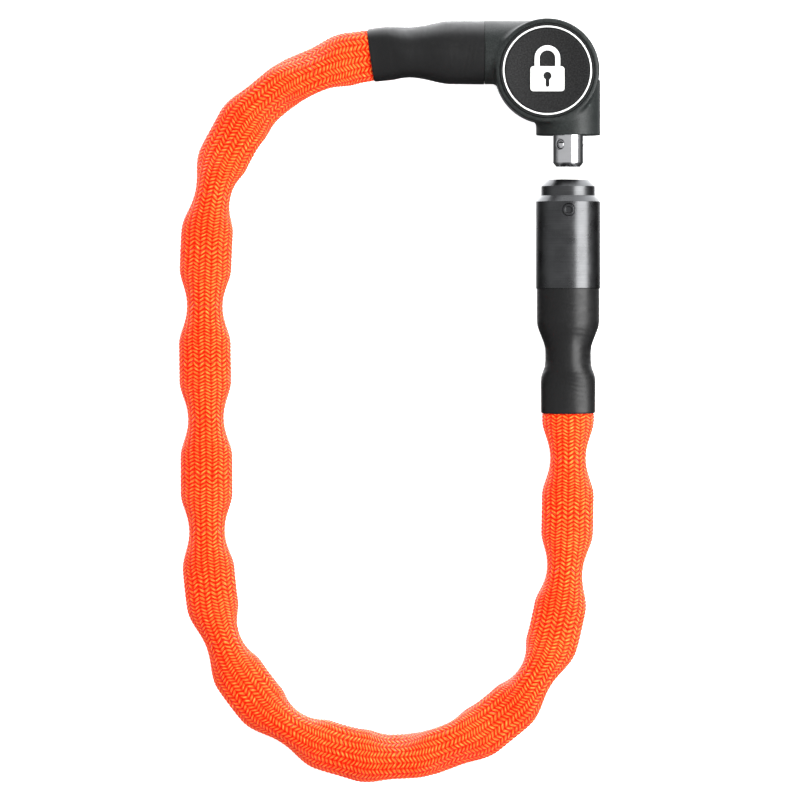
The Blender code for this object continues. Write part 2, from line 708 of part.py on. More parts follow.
def arc_points(x, radius, start, end, steps):
    """Points on an arc whose centre is on the X axis, between two angles in degrees."""
    turns = [math.radians(start + (end - start) * n / steps) for n in range(steps + 1)]
    return [(x + radius * math.cos(a), radius * math.sin(a)) for a in turns]


# ---------------------------------------------------------------- barrel


def barrel_place(along=0.0, radial=None):
    """A frame on the barrel's axis, with Z along the barrel or in a radial direction."""
    origin = (LAST_CONTACT.x, LAST_CONTACT.y + along, BARREL_Z)
    return axis_place(origin, radial or (0, 1, 0))


def rivet_cutter(name, low):
    return cylinder(name, 3.2, low, BARREL_RADIUS + PAST, CUTTER, barrel_place(RIVET_AT, (0, 0, 1)), 20)


def barrel_shell(finish):
    lip, inner_top = MOUTH_RADIUS + 0.45, BARREL_NOSE_TOP - 3.4
    profile = [(SHELL_BORE, BARREL_SHOULDER), (BARREL_RADIUS - 0.4, BARREL_SHOULDER)]
    profile += [(BARREL_RADIUS, BARREL_SHOULDER + 0.4), (BARREL_RADIUS, BARREL_BODY_TOP)]
    profile += [(NOSE_RADIUS, BARREL_NOSE_BASE), (NOSE_RADIUS, BARREL_NOSE_TOP - 3.3)]
    profile += [(10.2, BARREL_NOSE_TOP), (lip, BARREL_NOSE_TOP), (lip, inner_top), (SHELL_BORE, inner_top)]
    shell = turned("barrel_shell", profile, finish, barrel_place(), 36)
    cut(shell, rivet_cutter("shell_rivet_cutter", SHELL_BORE - PAST))
    return shell


def barrel_liner(finish):
    """The hardened bush that the stud slides into, with a groove for the locking balls."""
    outer, high = SHELL_BORE - GAP, BARREL_NOSE_TOP - 3.7
    profile = [(MOUTH_RADIUS, BORE_END), (outer, BORE_END), (outer, high), (MOUTH_RADIUS + 0.6, high)]
    profile += [(MOUTH_RADIUS, high - 0.8), (MOUTH_RADIUS, GROOVE_AT + 2.8), (9.4, GROOVE_AT + 2.2)]
    profile += [(9.4, GROOVE_AT - 2.2), (MOUTH_RADIUS, GROOVE_AT - 2.8)]
    liner = turned("barrel_liner", profile, finish, barrel_place(), 32)
    cut(liner, rivet_cutter("liner_rivet_cutter", 10.6))
    return liner


def barrel_rivet(finish):
    profile = [(0, 10.9), (2.9, 10.9), (2.9, 15.7), (2.6, 16.0), (1.75, 16.0), (1.75, 15.4), (0, 15.4)]
    return turned("barrel_rivet", profile, finish, barrel_place(RIVET_AT, (0, 0, 1)), 20)


def barrel_core(finish):
    """The steel core, whose fork holds the last link."""
    core_radius, flange_top, top = SHELL_BORE - GAP, BARREL_SHOULDER - GAP, BORE_END - 0.5
    profile = [(0, -10.0), (FORK_TIP_RADIUS, -10.0), (FORK_RADIUS, -1.0), (FORK_RADIUS, flange_top)]
    profile += [(core_radius, flange_top), (core_radius, top), (0, top)]
    core = turned("barrel_core", profile, finish, barrel_place(), 32)
    contact = Vector((LAST_CONTACT.x, LAST_CONTACT.y, BARREL_Z))
    cut(core, *fork_cutters("barrel_fork", contact, Vector((0, 1, 0)), Vector((1, 0, 0))))
    return core


# ---------------------------------------------------------------- assembly


def carry(pieces, name, point):
    """Parents pieces to an empty on their joint's axis, and leaves them where they are."""
    pivot = bpy.data.objects.new(name, None)
    bpy.context.scene.collection.objects.link(pivot)
    pivot.matrix_world = Matrix.Translation(Vector(point) * MM)
    for piece in pieces:
        piece.parent = pivot
        piece.matrix_parent_inverse = pivot.matrix_world.inverted()


def make_head(housing, dark, charcoal, white, steel, chrome, brass):
    head_housing(housing)
    front_pieces(dark, charcoal, white)
    back_plate(dark)
    back_screws(steel)
    keyhole_cover(steel, chrome)
    key_cylinder(brass, steel)
    locking_stud(chrome)
    locking_balls(chrome)
    plunger(steel)
    plunger_spring(steel)
    anchor_pin("head_anchor_pin", CONTACTS[0], Vector((1, 0, 0)), Vector((0, 1, 0)), steel)


def make_barrel(gunmetal, steel, rubber, last_link):
    contact = Vector((LAST_CONTACT.x, LAST_CONTACT.y, BARREL_Z))
    pin = anchor_pin("barrel_anchor_pin", contact, Vector((0, 1, 0)), Vector((1, 0, 0)), steel)
    pieces = [barrel_shell(gunmetal), barrel_liner(steel), barrel_rivet(gunmetal), barrel_core(steel)]
    carry([*pieces, pin, barrel_heat_shrink(rubber), last_link], "barrel_joint", CONTACTS[LINKS - 1])


def main():
    housing = material("housing_coat", (0.035, 0.040, 0.038), 0.55, 0.3)
    dark = material("dark_coat", (0.028, 0.031, 0.030), 0.5, 0.3)
    charcoal = material("charcoal", (0.045, 0.047, 0.050), 0.8)
    white = material("white_trim", (0.80, 0.80, 0.78), 0.5)
    chrome = material("chrome", (0.75, 0.75, 0.76), 0.15, 1.0)
    gunmetal = material("gunmetal", (0.05, 0.052, 0.055), 0.25, 0.9)
    steel = material("steel", (0.45, 0.45, 0.46), 0.35, 1.0)
    brass = material("brass", (0.60, 0.45, 0.20), 0.35, 1.0)
    rubber = material("heat_shrink", (0.018, 0.018, 0.019), 0.6)
    weave = material("woven_sleeve", (0.90, 0.16, 0.01), 0.75)
    make_head(housing, dark, charcoal, white, steel, chrome, brass)
    links = [link_piece(number, steel) for number in range(1, LINKS + 1)]
    head_heat_shrink(rubber)
    woven_sleeve(weave)
    make_barrel(gunmetal, steel, rubber, links[-1])


for stale in list(bpy.data.objects):
    bpy.data.objects.remove(stale)
CUTTER = material("cutter", (0.5, 0.5, 0.5), 0.5)
main()
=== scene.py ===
import json
import math

import bmesh
import bpy
import numpy as np
from mathutils import Matrix, Vector


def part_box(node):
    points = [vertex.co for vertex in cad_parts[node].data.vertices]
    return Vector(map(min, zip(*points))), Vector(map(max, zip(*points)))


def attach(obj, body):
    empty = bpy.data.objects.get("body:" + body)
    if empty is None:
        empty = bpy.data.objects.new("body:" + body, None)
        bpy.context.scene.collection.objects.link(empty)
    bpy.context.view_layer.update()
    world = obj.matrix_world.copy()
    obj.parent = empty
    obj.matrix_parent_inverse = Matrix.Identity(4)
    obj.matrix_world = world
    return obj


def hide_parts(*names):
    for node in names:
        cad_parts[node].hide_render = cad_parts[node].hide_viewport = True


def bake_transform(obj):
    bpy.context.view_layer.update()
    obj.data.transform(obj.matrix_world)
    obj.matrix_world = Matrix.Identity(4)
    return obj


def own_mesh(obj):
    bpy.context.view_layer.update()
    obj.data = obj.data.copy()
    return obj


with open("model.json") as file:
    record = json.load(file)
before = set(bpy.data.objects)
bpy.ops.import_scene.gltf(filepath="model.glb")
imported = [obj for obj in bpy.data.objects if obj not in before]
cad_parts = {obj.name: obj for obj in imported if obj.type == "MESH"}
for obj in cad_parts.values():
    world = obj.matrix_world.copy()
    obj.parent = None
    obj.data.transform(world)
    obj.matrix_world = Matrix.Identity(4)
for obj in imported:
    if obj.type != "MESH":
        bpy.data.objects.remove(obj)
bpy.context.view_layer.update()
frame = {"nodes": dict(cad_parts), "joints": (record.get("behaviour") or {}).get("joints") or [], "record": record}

# Looks of the chain bike lock. Lengths are in millimetres until a mesh is made, as in the CAD.
MM = 0.001

# Chain and sleeve, as in the CAD.
PITCH = 28.09
TWIST_STEP = 18.0
FIRST_TWIST = (1, 6)
SECOND_TWIST = (16, 21)
SLEEVE_WIDE = 13.0
SLEEVE_NARROW = 8.9
SLEEVE_FULL_TO = 0.3
FIRMNESS = 0.85
REST_Z = 0.15
GAP = 0.3

# Head, as in the CAD.
DRUM_RADIUS = 26.0
AXIS_Z = 16.4
SOCKET_RADIUS = 15.9
SOCKET_SHOULDER_X = 46.9
HEAD_MOUTH_X = -10.2
TUBE_RADIUS = 16.05
FORK_RADIUS = 14.3
STUD_RADIUS = 7.65
NOSE_RADIUS = 13.45
NOSE_RECESS = 8.6
CAVITY_RADIUS = 22.0
CAVITY_FLOOR = 4.2
CAVITY_CEILING = 28.6
PLATE_SEAT = 23.6
FRONT_FLOOR = 31.0
FRONT_SEAT = 23.95
SOCKET_FILLET = 3.2
TUBE_FILLET = 3.2
RIM_SOFTNESS = 1.7
HOUSING_GRAIN = 0.47  # size of the faces on the housing
POST_ANGLES = (60.0, 155.0, 250.0)
POST_RING = 17.0
RECESS_DEPTH = 1.9
COVER_ARM = 12.0
SPRING_RADIUS = 3.0
SPRING_TURNS = 3.5
BALL_RADIUS = 2.3
BALL_ANGLES = (-34.0, 86.0, 206.0)

# Barrel, as in the CAD, measured along its axis from the last link's contact with its pin.
BARREL_RADIUS = 16.07
BARREL_SHOULDER = 14.4
BARREL_BODY_TOP = 57.9
BARREL_NOSE_BASE = 60.9
BARREL_NOSE_TOP = 68.9
BARREL_MOUTH = -47.0
SHELL_BORE = 12.3
MOUTH_RADIUS = 7.95
RIVET_AT = 53.6

# Braid: columns of slanting strands that meet in chevrons.
COLUMNS = 24
COLUMN_STEPS = 4
ROWS = 15  # to a link's pitch
ROW_STEPS = 6
STRAND_SLANT = 0.9  # rows that a strand climbs in its column
STRAND_RISE = 0.12
STRAND_DEPTH = 0.6
SLEEVE_WALL = 0.85

# Heat-shrinks: how they lie over the sleeve, and how their mouths roll in.
SHRINK_WALL = 0.75
SHRINK_COVER = 0.45
SHRINK_SOFTNESS = 1.2
SHRINK_RIPPLE = 0.025
MOUTH_ROLL = 0.28
MOUTH_ROLL_LENGTH = 0.7


# ---------------------------------------------------------------- camera and light


def make_camera():
    """A long lens straight above the lock."""
    data = bpy.data.cameras.new("camera")
    data.lens = 448.6
    data.sensor_width = 36.0
    data.clip_start = 0.01
    data.clip_end = 40.0
    camera = bpy.data.objects.new("camera", data)
    camera.location = (0.00475, 0.00025, 5.0)
    bpy.context.scene.collection.objects.link(camera)
    bpy.context.scene.camera = camera


def area_light(name, place, target, size, radiance, glossy=True):
    """A rectangular light that faces its target, as bright as its radiance says from every side."""
    data = bpy.data.lights.new(name, "AREA")
    data.shape = "RECTANGLE"
    data.size, data.size_y = size
    data.energy = radiance * math.pi * size[0] * size[1]
    light = bpy.data.objects.new(name, data)
    light.location = place
    light.rotation_euler = (Vector(target) - Vector(place)).to_track_quat("-Z", "Y").to_euler()
    light.visible_camera = False
    light.visible_glossy = glossy
    bpy.context.scene.collection.objects.link(light)


def make_lights():
    """A long strip on the right, a small key behind it, soft light from above, and the studio's walls."""
    barrel = (0.0888, 0.08, 0.016)
    area_light("strip", (0.86, 0.08, 0.66), barrel, (1.1, 0.8), 6.0)
    area_light("key", (0.62, 0.75, 0.9), (0, 0, 0), (0.35, 0.35), 26, glossy=False)
    area_light("top", (-0.3, 0.1, 1.6), (0, 0, 0), (1.4, 1.4), 2.6, glossy=False)
    world = bpy.data.worlds.new("studio")
    bpy.context.scene.world = world
    world.use_nodes = True
    studio = world.node_tree
    walls = studio.nodes.new("ShaderNodeTexCoord").outputs["Generated"]
    back = wall_light(studio, walls, (0, 0.8, -0.6), (0.42, 0.95), (0.0, 4.2))
    ceiling = wall_light(studio, walls, (0, 0, 1), (-0.5, 0.4), (0.05, 0.5))
    total = studio.nodes.new("ShaderNodeMath")
    studio.links.new(back, total.inputs[0])
    studio.links.new(ceiling, total.inputs[1])
    studio.nodes["Background"].inputs["Color"].default_value = (0.97, 0.98, 1.0, 1.0)
    studio.links.new(total.outputs["Value"], studio.nodes["Background"].inputs["Strength"])
    bpy.context.scene.view_settings.view_transform = "Standard"


def wall_light(tree, ray, towards, reach, strength):
    """How bright the studio is on one side, from dark to bright over its reach."""
    side = tree.nodes.new("ShaderNodeVectorMath")
    side.operation = "DOT_PRODUCT"
    side.inputs[1].default_value = towards
    tree.links.new(ray, side.inputs[0])
    node = tree.nodes.new("ShaderNodeMapRange")
    node.interpolation_type = "SMOOTHSTEP"
    tree.links.new(side.outputs["Value"], node.inputs["Value"])
    for name, value in zip(("From Min", "From Max", "To Min", "To Max"), (*reach, *strength)):
        node.inputs[name].default_value = value
    return node.outputs["Result"]


def make_floor():
    mesh = bpy.data.meshes.new("floor")
    reach = 6.0
    corners = [(-reach, -reach, 0), (reach, -reach, 0), (reach, reach, 0), (-reach, reach, 0)]
    mesh.from_pydata(corners, [], [(0, 1, 2, 3)])
    floor = bpy.data.objects.new("floor", mesh)
    floor.location.z = -0.0004
    bpy.context.scene.collection.objects.link(floor)
    paint = bpy.data.materials.new("floor_white")
    paint.use_nodes = True
    shader = paint.node_tree.nodes["Principled BSDF"]
    shader.inputs["Base Color"].default_value = (0.93, 0.93, 0.93, 1)
    shader.inputs["Emission Color"].default_value = (1, 1, 1, 1)
    shader.inputs["Emission Strength"].default_value = 0.6
    shader.inputs["Roughness"].default_value = 0.9
    shader.inputs["Specular IOR Level"].default_value = 0.0
    mesh.materials.append(paint)
    floor.visible_glossy = False


# ---------------------------------------------------------------- materials


class Nodes:
    """A material's node tree, with short ways to add and join nodes."""

    def __init__(self, name):
        self.material = bpy.data.materials.new(name)
        self.material.use_nodes = True
        self.tree = self.material.node_tree
        self.shader = self.tree.nodes["Principled BSDF"]

    def add(self, kind, values=None, **settings):
        node = self.tree.nodes.new(kind)
        for key, value in settings.items():
            setattr(node, key, value)
        for key, value in (values or {}).items():
            self.put(value, node.inputs[key])
        return node

    def put(self, value, socket):
        """Sets a socket, or joins it to a node's output."""
        if isinstance(value, bpy.types.NodeSocket):
            self.tree.links.new(value, socket)
        elif isinstance(value, (tuple, list)) and socket.type == "RGBA":
            socket.default_value = (*value, 1.0)
        else:
            socket.default_value = value

    def finish(self, **inputs):
        for key, value in inputs.items():
            self.put(value, self.shader.inputs[key.replace("_", " ")])
        return self.material

    def place(self, scale=(1, 1, 1)):
        spot = self.add("ShaderNodeTexCoord").outputs["Object"]
        return self.add("ShaderNodeMapping", {"Vector": spot, "Scale": scale}).outputs["Vector"]

    def noise(self, scale, detail=3.0, roughness=0.55, vector=None, distortion=0.0):
        vector = vector or self.place()
        values = {"Vector": vector, "Scale": scale, "Detail": detail, "Roughness": roughness}
        values["Distortion"] = distortion
        return self.add("ShaderNodeTexNoise", values).outputs["Fac"]

    def ramp(self, factor, stops):
        node = self.add("ShaderNodeValToRGB", {"Fac": factor})
        ends = node.color_ramp.elements
        while len(ends) < len(stops):
            ends.new(0.5)
        for element, (at, colour) in zip(ends, stops):
            element.position = at
            element.color = (*colour, 1.0)
        return node.outputs["Color"]

    def spread(self, factor, low, high, start=0.0, end=1.0):
        values = {"Value": factor, "From Min": start, "From Max": end, "To Min": low, "To Max": high}
        return self.add("ShaderNodeMapRange", values).outputs["Result"]

    def maths(self, operation, a, b=0.0):
        node = self.add("ShaderNodeMath", operation=operation)
        self.put(a, node.inputs[0])
        self.put(b, node.inputs[1])
        return node.outputs["Value"]

    def mix(self, factor, a, b, how="MIX"):
        node = self.add("ShaderNodeMix", data_type="RGBA", blend_type=how)
        self.put(factor, node.inputs["Factor"])
        self.put(a, node.inputs[6])
        self.put(b, node.inputs[7])
        return node.outputs[2]

    def bump(self, height, strength, distance, normal=None):
        values = {"Height": height, "Strength": strength, "Distance": distance}
        node = self.add("ShaderNodeBump", values)
        if normal:
            self.put(normal, node.inputs["Normal"])
        return node.outputs["Normal"]

    def edge(self, low=0.5, high=0.62):
        """How sharply the surface turns outwards, from 0 to 1."""
        return self.spread(self.add("ShaderNodeNewGeometry").outputs["Pointiness"], 0.0, 1.0, low, high)


def powder_coat(name, dark, light, edge_highlight, roughness=0.44):
    """Fine-textured powder coat over metal, lighter on its sharp outer edges as a painted highlight."""
    nodes = Nodes(name)
    grain = nodes.noise(1700, 3.0, 0.7)
    cloud = nodes.noise(60, 3.0)
    colour = nodes.ramp(grain, [(0.36, dark), (0.68, light)])
    # Painted highlight: the colour turns towards the edge highlight colour on sharp outer edges.
    colour = nodes.mix(nodes.maths("MULTIPLY", nodes.edge(0.53, 0.66), 0.35), colour, edge_highlight)
    rough = nodes.spread(cloud, roughness - 0.06, roughness + 0.08, 0.3, 0.7)
    normal = nodes.bump(grain, 0.35, 0.00012)
    return nodes.finish(Base_Color=colour, Roughness=rough, Specular_IOR_Level=0.4, Normal=normal)


def pebbled(name, dark, light):
    nodes = Nodes(name)
    cells = nodes.add("ShaderNodeTexVoronoi", {"Vector": nodes.place(), "Scale": 1500.0})
    speckle = nodes.noise(1400, 3.0, 0.7)
    colour = nodes.ramp(speckle, [(0.38, dark), (0.68, light)])
    normal = nodes.bump(cells.outputs["Distance"], 0.3, 0.0001)
    return nodes.finish(Base_Color=colour, Roughness=0.66, Specular_IOR_Level=0.3, Normal=normal)


def white_print(name):
    nodes = Nodes(name)
    fleck = nodes.noise(900, 2.0)
    colour = nodes.ramp(fleck, [(0.25, (0.68, 0.68, 0.67)), (0.6, (0.78, 0.78, 0.77))])
    rough = nodes.spread(nodes.noise(200), 0.4, 0.55, 0.3, 0.7)
    return nodes.finish(Base_Color=colour, Roughness=rough, Normal=nodes.bump(fleck, 0.1, 0.00005))


def turned_metal(name, dark, light, roughness, ring_axis, strength=0.08):
    """Metal with fine turning marks round an axis, 0 for X, 1 for Y or 2 for Z."""
    nodes = Nodes(name)
    stretch = [40.0, 40.0, 40.0]
    stretch[ring_axis] = 5200.0
    rings = nodes.noise(1.0, 3.0, 0.7, nodes.place(stretch))
    blotch = nodes.noise(120, 3.0)
    colour = nodes.ramp(nodes.maths("MULTIPLY", rings, blotch), [(0.12, dark), (0.38, light)])
    rough = nodes.spread(blotch, roughness - 0.03, roughness + 0.06, 0.3, 0.7)
    normal = nodes.bump(rings, strength, 0.00003)
    return nodes.finish(Base_Color=colour, Roughness=rough, Metallic=1.0, Normal=normal)


def bare_steel(name, dark, light, roughness):
    nodes = Nodes(name)
    brush = nodes.noise(1.0, 4.0, 0.65, nodes.place((700, 90, 700)))
    stain = nodes.noise(90, 4.0)
    colour = nodes.ramp(stain, [(0.3, dark), (0.7, light)])
    rough = nodes.spread(brush, roughness - 0.08, roughness + 0.12, 0.3, 0.7)
    normal = nodes.bump(brush, 0.15, 0.00004)
    return nodes.finish(Base_Color=colour, Roughness=rough, Metallic=1.0, Normal=normal)


def shrunk_rubber(name):
    """Semi-matt heat-shrink, with fine creases, handling marks and a little dust."""
    nodes = Nodes(name)
    creases = nodes.noise(1.0, 4.0, 0.55, nodes.place((90, 200, 90)), 1.2)
    scratches = nodes.noise(1.0, 6.0, 0.75, nodes.place((1400, 120, 500)), 2.0)
    fine = nodes.noise(1800, 2.0)
    colour = nodes.ramp(scratches, [(0.35, (0.004, 0.004, 0.004)), (0.75, (0.009, 0.009, 0.0093))])
    rough = nodes.spread(creases, 0.32, 0.46, 0.3, 0.7)
    normal = nodes.bump(creases, 0.05, 0.0004)
    normal = nodes.bump(fine, 0.12, 0.00006, normal)
    return nodes.finish(Base_Color=colour, Roughness=rough, Specular_IOR_Level=0.4, Normal=normal)


def braid(name):
    """Orange braid. Its colour follows the strand's height: painted shade darkens the grooves and a painted
    highlight lightens the crowns. Fine filaments run along each strand and carry painted glints on the crowns.
    """
    nodes = Nodes(name)
    height = nodes.add("ShaderNodeAttribute", attribute_name="strand_height").outputs["Fac"]
    run = nodes.add("ShaderNodeAttribute", attribute_name="strand_run").outputs["Vector"]
    # Painted shade and highlight: deep red in the grooves, lighter orange on the strands' crowns.
    painted_shading_stops = [(0.0, (0.80, 0.0005, 0.0)), (0.4, (0.96, 0.006, 0.0006))]
    painted_shading_stops += [(0.75, (1.0, 0.034, 0.0045)), (1.0, (1.0, 0.14, 0.02))]
    painted_shading = nodes.ramp(height, painted_shading_stops)
    run = nodes.add("ShaderNodeMapping", {"Vector": run, "Scale": (9, 1.2, 1)}).outputs["Vector"]
    filament = nodes.noise(1.0, 2.0, 0.6, run)
    cloud = nodes.noise(55, 3.0)
    tint = nodes.ramp(cloud, [(0.3, (0.97, 0.70, 0.65)), (0.7, (1.0, 1.0, 1.0))])
    colour = nodes.mix(1.0, painted_shading, tint, "MULTIPLY")
    # Painted glints: yellow-orange along the filaments on the strands' crowns.
    highlight_crown = nodes.spread(height, 0.0, 1.0, 0.35, 0.9)
    painted_glint = nodes.maths("MULTIPLY", highlight_crown, nodes.spread(filament, 0.0, 0.9, 0.47, 0.68))
    colour = nodes.mix(painted_glint, colour, (1.0, 0.48, 0.10))
    normal = nodes.bump(filament, 0.3, 0.00012)
    return nodes.finish(
        Base_Color=colour,
        Roughness=0.4,
        Specular_IOR_Level=0.6,
        Specular_Tint=(1.0, 0.3, 0.08),
        Sheen_Weight=0.04,
        Sheen_Tint=(1.0, 0.5, 0.25),
        Sheen_Roughness=0.4,
        Normal=normal,
    )


def make_materials():
    # The third colour of housing and of dark is the painted highlight on sharp outer edges.
    housing = ((0.003, 0.004, 0.0038), (0.020, 0.024, 0.023), (0.13, 0.16, 0.155))
    dark = ((0.005, 0.006, 0.006), (0.010, 0.011, 0.011), (0.07, 0.08, 0.08))
    gunmetal = ((0.085, 0.086, 0.088), (0.13, 0.132, 0.135))
    return {
        "housing": powder_coat("housing_coat", *housing),
        "dark_coat": powder_coat("dark_coat", *dark),
        "charcoal": pebbled("charcoal", (0.001, 0.001, 0.001), (0.020, 0.020, 0.0205)),
        "white_trim": white_print("white_trim"),
        "chrome": turned_metal("chrome", (0.84, 0.84, 0.85), (0.95, 0.95, 0.96), 0.09, 1, strength=0.03),
        "gunmetal": turned_metal("gunmetal", *gunmetal, 0.28, 1, strength=0.05),
        "steel": bare_steel("steel", (0.36, 0.36, 0.37), (0.52, 0.52, 0.53), 0.34),
        "brass": turned_metal("brass", (0.52, 0.37, 0.14), (0.70, 0.53, 0.25), 0.3, 2),
        "heat_shrink": shrunk_rubber("heat_shrink"),
        "weave": braid("woven_sleeve"),
    }


# ---------------------------------------------------------------- mesh tools


def mesh_object(name, points, faces, finish=None, sharp=32):
    """An object with its points in millimetres in the frame's own place."""
    mesh = bpy.data.meshes.new(name)
    mesh.from_pydata((np.asarray(points, float) * MM).tolist(), [], faces)
    mesh.validate()
    mesh.shade_smooth()
    mesh.set_sharp_from_angle(angle=math.radians(sharp))
    if finish:
        mesh.materials.append(finish)
    made = bpy.data.objects.new(name, mesh)
    bpy.context.scene.collection.objects.link(made)
    return made


def axis_place(origin, direction):
    """A frame at origin whose Z axis points along direction."""
    turn = Vector(direction).to_track_quat("Z", "Y").to_matrix().to_4x4()
    return Matrix.Translation(Vector(origin)) @ turn


def eased(profile, closed):
    """A profile of (radius, height, rounding) points with its corners rounded off by arcs."""
    count, out = len(profile), []
    for n, (radius, height, *rest) in enumerate(profile):
        rounding = rest[0] if rest else 0.0
        here = Vector((radius, height))
        if not rounding or (not closed and n in (0, count - 1)):
            out.append((radius, height))
            continue
        before, after = (Vector(profile[(n + s) % count][:2]) for s in (-1, 1))
        a, b = (before - here).normalized(), (after - here).normalized()
        angle = a.angle(b)
        room = 0.49 * min((before - here).length, (after - here).length)
        back = min(rounding / math.tan(angle / 2), room)
        radius_used = back * math.tan(angle / 2)
        middle = here + (a + b).normalized() * (radius_used / math.sin(angle / 2))
        start, end = here + a * back - middle, here + b * back - middle
        steps = max(2, math.ceil(math.degrees(start.angle(end)) / 15))
        for m in range(steps + 1):
            out.append(tuple(middle + start.slerp(end, m / steps).normalized() * radius_used))
    return out


def turned(name, profile, finish=None, place=None, sides=96, sharp=32):
    """A turned solid from (radius, height, rounding) points. It closes on itself if it is off the axis."""
    ring_shaped = profile[0][0] > 0
    outline = eased(profile, ring_shaped)
    points, rows = [], []
    for radius, height in outline:
        around = sides if radius > 1e-6 else 1
        rows.append([len(points) + n for n in range(around)])
        for n in range(around):
            a = 2 * math.pi * n / sides
            points.append((radius * math.cos(a), radius * math.sin(a), height))
    pairs = list(zip(rows, rows[1:]))
    if ring_shaped:
        pairs.append((rows[-1], rows[0]))
    faces = []
    for low, high in pairs:
        for n in range(sides):
            after = (n + 1) % sides
            if len(low) == 1 and len(high) > 1:
                faces.append((low[0], high[after], high[n]))
            elif len(high) == 1 and len(low) > 1:
                faces.append((low[n], low[after], high[0]))
            elif len(low) > 1:
                faces.append((low[n], low[after], high[after], high[n]))
    return outward(mesh_object(name, placed(points, place), faces, finish, sharp), sharp)


def placed(points, place):
    if place is None:
        return points
    turn = np.array(place.to_3x3())
    return np.asarray(points, float) @ turn.T + np.array(place.translation)


def outward(made, sharp=32):
    """Turns the faces outwards, by the sign of the volume."""
    mesh = made.data
    mesh.calc_loop_triangles()
    spots = np.array([v.co for v in mesh.vertices])
    a, b, c = (spots[[t.vertices[k] for t in mesh.loop_triangles]] for k in range(3))
    if np.einsum("ij,ij->i", a, np.cross(b, c)).sum() < 0:
        mesh.flip_normals()
    mesh.set_sharp_from_angle(angle=math.radians(sharp))
    return made


def box(name, low, high, place=None):
    corners = [(x, y, z) for z in (low[2], high[2]) for y in (low[1], high[1]) for x in (low[0], high[0])]
    faces = [(0, 2, 3, 1), (4, 5, 7, 6), (0, 1, 5, 4), (2, 6, 7, 3), (0, 4, 6, 2), (1, 3, 7, 5)]
    return outward(mesh_object(name, placed(corners, place), faces))


def cylinder(name, radius, low, high, place=None, sides=64):
    return turned(name, [(0, low), (radius, low), (radius, high), (0, high)], None, place, sides)


def combine(target, operation, tools):
    """Applies Booleans of one kind with each tool, and removes the tools."""
    for tool in tools:
        step = target.modifiers.new(tool.name, "BOOLEAN")
        step.operation = operation
        step.solver = "EXACT"
        step.object = tool
    settle(target)
    for tool in tools:
        bpy.data.objects.remove(tool)
    return target


def settle(target, sharp=32):
    """Replaces an object's mesh by what its modifiers make of it."""
    bpy.context.view_layer.update()
    shape = bpy.data.meshes.new_from_object(target.evaluated_get(bpy.context.evaluated_depsgraph_get()))
    target.modifiers.clear()
    target.data = shape
    shape.shade_smooth()
    shape.set_sharp_from_angle(angle=math.radians(sharp))
    return target


def weld(mesh, distance):
    """Welds a mesh, and fills the hair-thin gaps that Booleans leave."""
    shape = bmesh.new()
    shape.from_mesh(mesh)
    bmesh.ops.remove_doubles(shape, verts=shape.verts, dist=distance * MM)
    rims = [edge for edge in shape.edges if len(edge.link_faces) == 1]
    bmesh.ops.holes_fill(shape, edges=rims, sides=0)
    bmesh.ops.recalc_face_normals(shape, faces=shape.faces)
    shape.to_mesh(mesh)
    shape.free()


def wear(made, slot, body, *nodes):
    """Gives a piece its material and its body, and hides the CAD nodes that it stands for."""
    made.data.materials.clear()
    made.data.materials.append(MATERIALS[slot])
    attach(made, body)
    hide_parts(*nodes)
    return made


# ---------------------------------------------------------------- the chain's line


def centre(node):
    low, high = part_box(node)
    return (low + high) / 2 / MM


def chain_contacts():
    """Where each link touches the next, read from the joints."""
    hinges = {j["name"]: Vector(j["pos_m"]) / MM for j in frame["joints"] if j["name"].startswith("link_")}
    inner = [hinges[name] for name in sorted(hinges)]
    last_link = f"link_{len(inner) + 1:02d}"
    return np.array([2 * centre("link_01") - inner[0], *inner, 2 * centre(last_link) - inner[-1]])


CONTACTS = chain_contacts()
CENTRES = (CONTACTS[1:] + CONTACTS[:-1]) / 2
LINKS = len(CENTRES)
LAST_CONTACT = CONTACTS[-1]
DRUM = Vector([(a + b) / 2 / MM for a, b in zip(*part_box("front_disc"))]).to_2d()
SOCKET_Y = CONTACTS[0][1]
STUD_X = centre("locking_stud").x
TUBE_FACE_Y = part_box("locking_stud")[0].y / MM + 15.7
DRUM_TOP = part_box("head_housing")[1].z / MM


def roll_of(number):
    """Angle from flat to the plane of a link, which is numbered from 1 at the head."""
    steps = TWIST_STEP * (min(max(number, FIRST_TWIST[0]), FIRST_TWIST[1]) - FIRST_TWIST[0])
    steps -= TWIST_STEP * (min(max(number, SECOND_TWIST[0]), SECOND_TWIST[1]) - SECOND_TWIST[0])
    return math.radians(90.0 * number - steps)


ROLLS = np.array([roll_of(n + 1) for n in range(LINKS)])


def unit(vectors):
    return vectors / np.linalg.norm(vectors, axis=-1, keepdims=True)


def chain_frames(u):
    """Points on the chain's line u pitches from link 1's centre, with their level and upward directions."""
    u = np.asarray(u, float)
    held = np.clip(u, 0, LINKS - 1)
    k = np.clip(np.floor(held).astype(int), 0, LINKS - 2)
    t = (held - k)[..., None]
    start, bend, end = CENTRES[k], CONTACTS[k + 1], CENTRES[k + 1]
    leave, arrive = start + FIRMNESS * (bend - start), end + FIRMNESS * (bend - end)
    point = (1 - t) ** 3 * start + 3 * t * (1 - t) ** 2 * leave + 3 * t**2 * (1 - t) * arrive + t**3 * end
    along = (1 - t) ** 2 * (leave - start) + 2 * t * (1 - t) * (arrive - leave) + t**2 * (end - arrive)
    along = unit(along)
    level = unit(np.cross((0, 0, 1), along))
    return point + along * ((u - held) * PITCH)[..., None], level, np.cross(along, level)


def smooth(t):
    t = np.clip(t, 0.0, 1.0)
    return t * t * (3 - 2 * t)


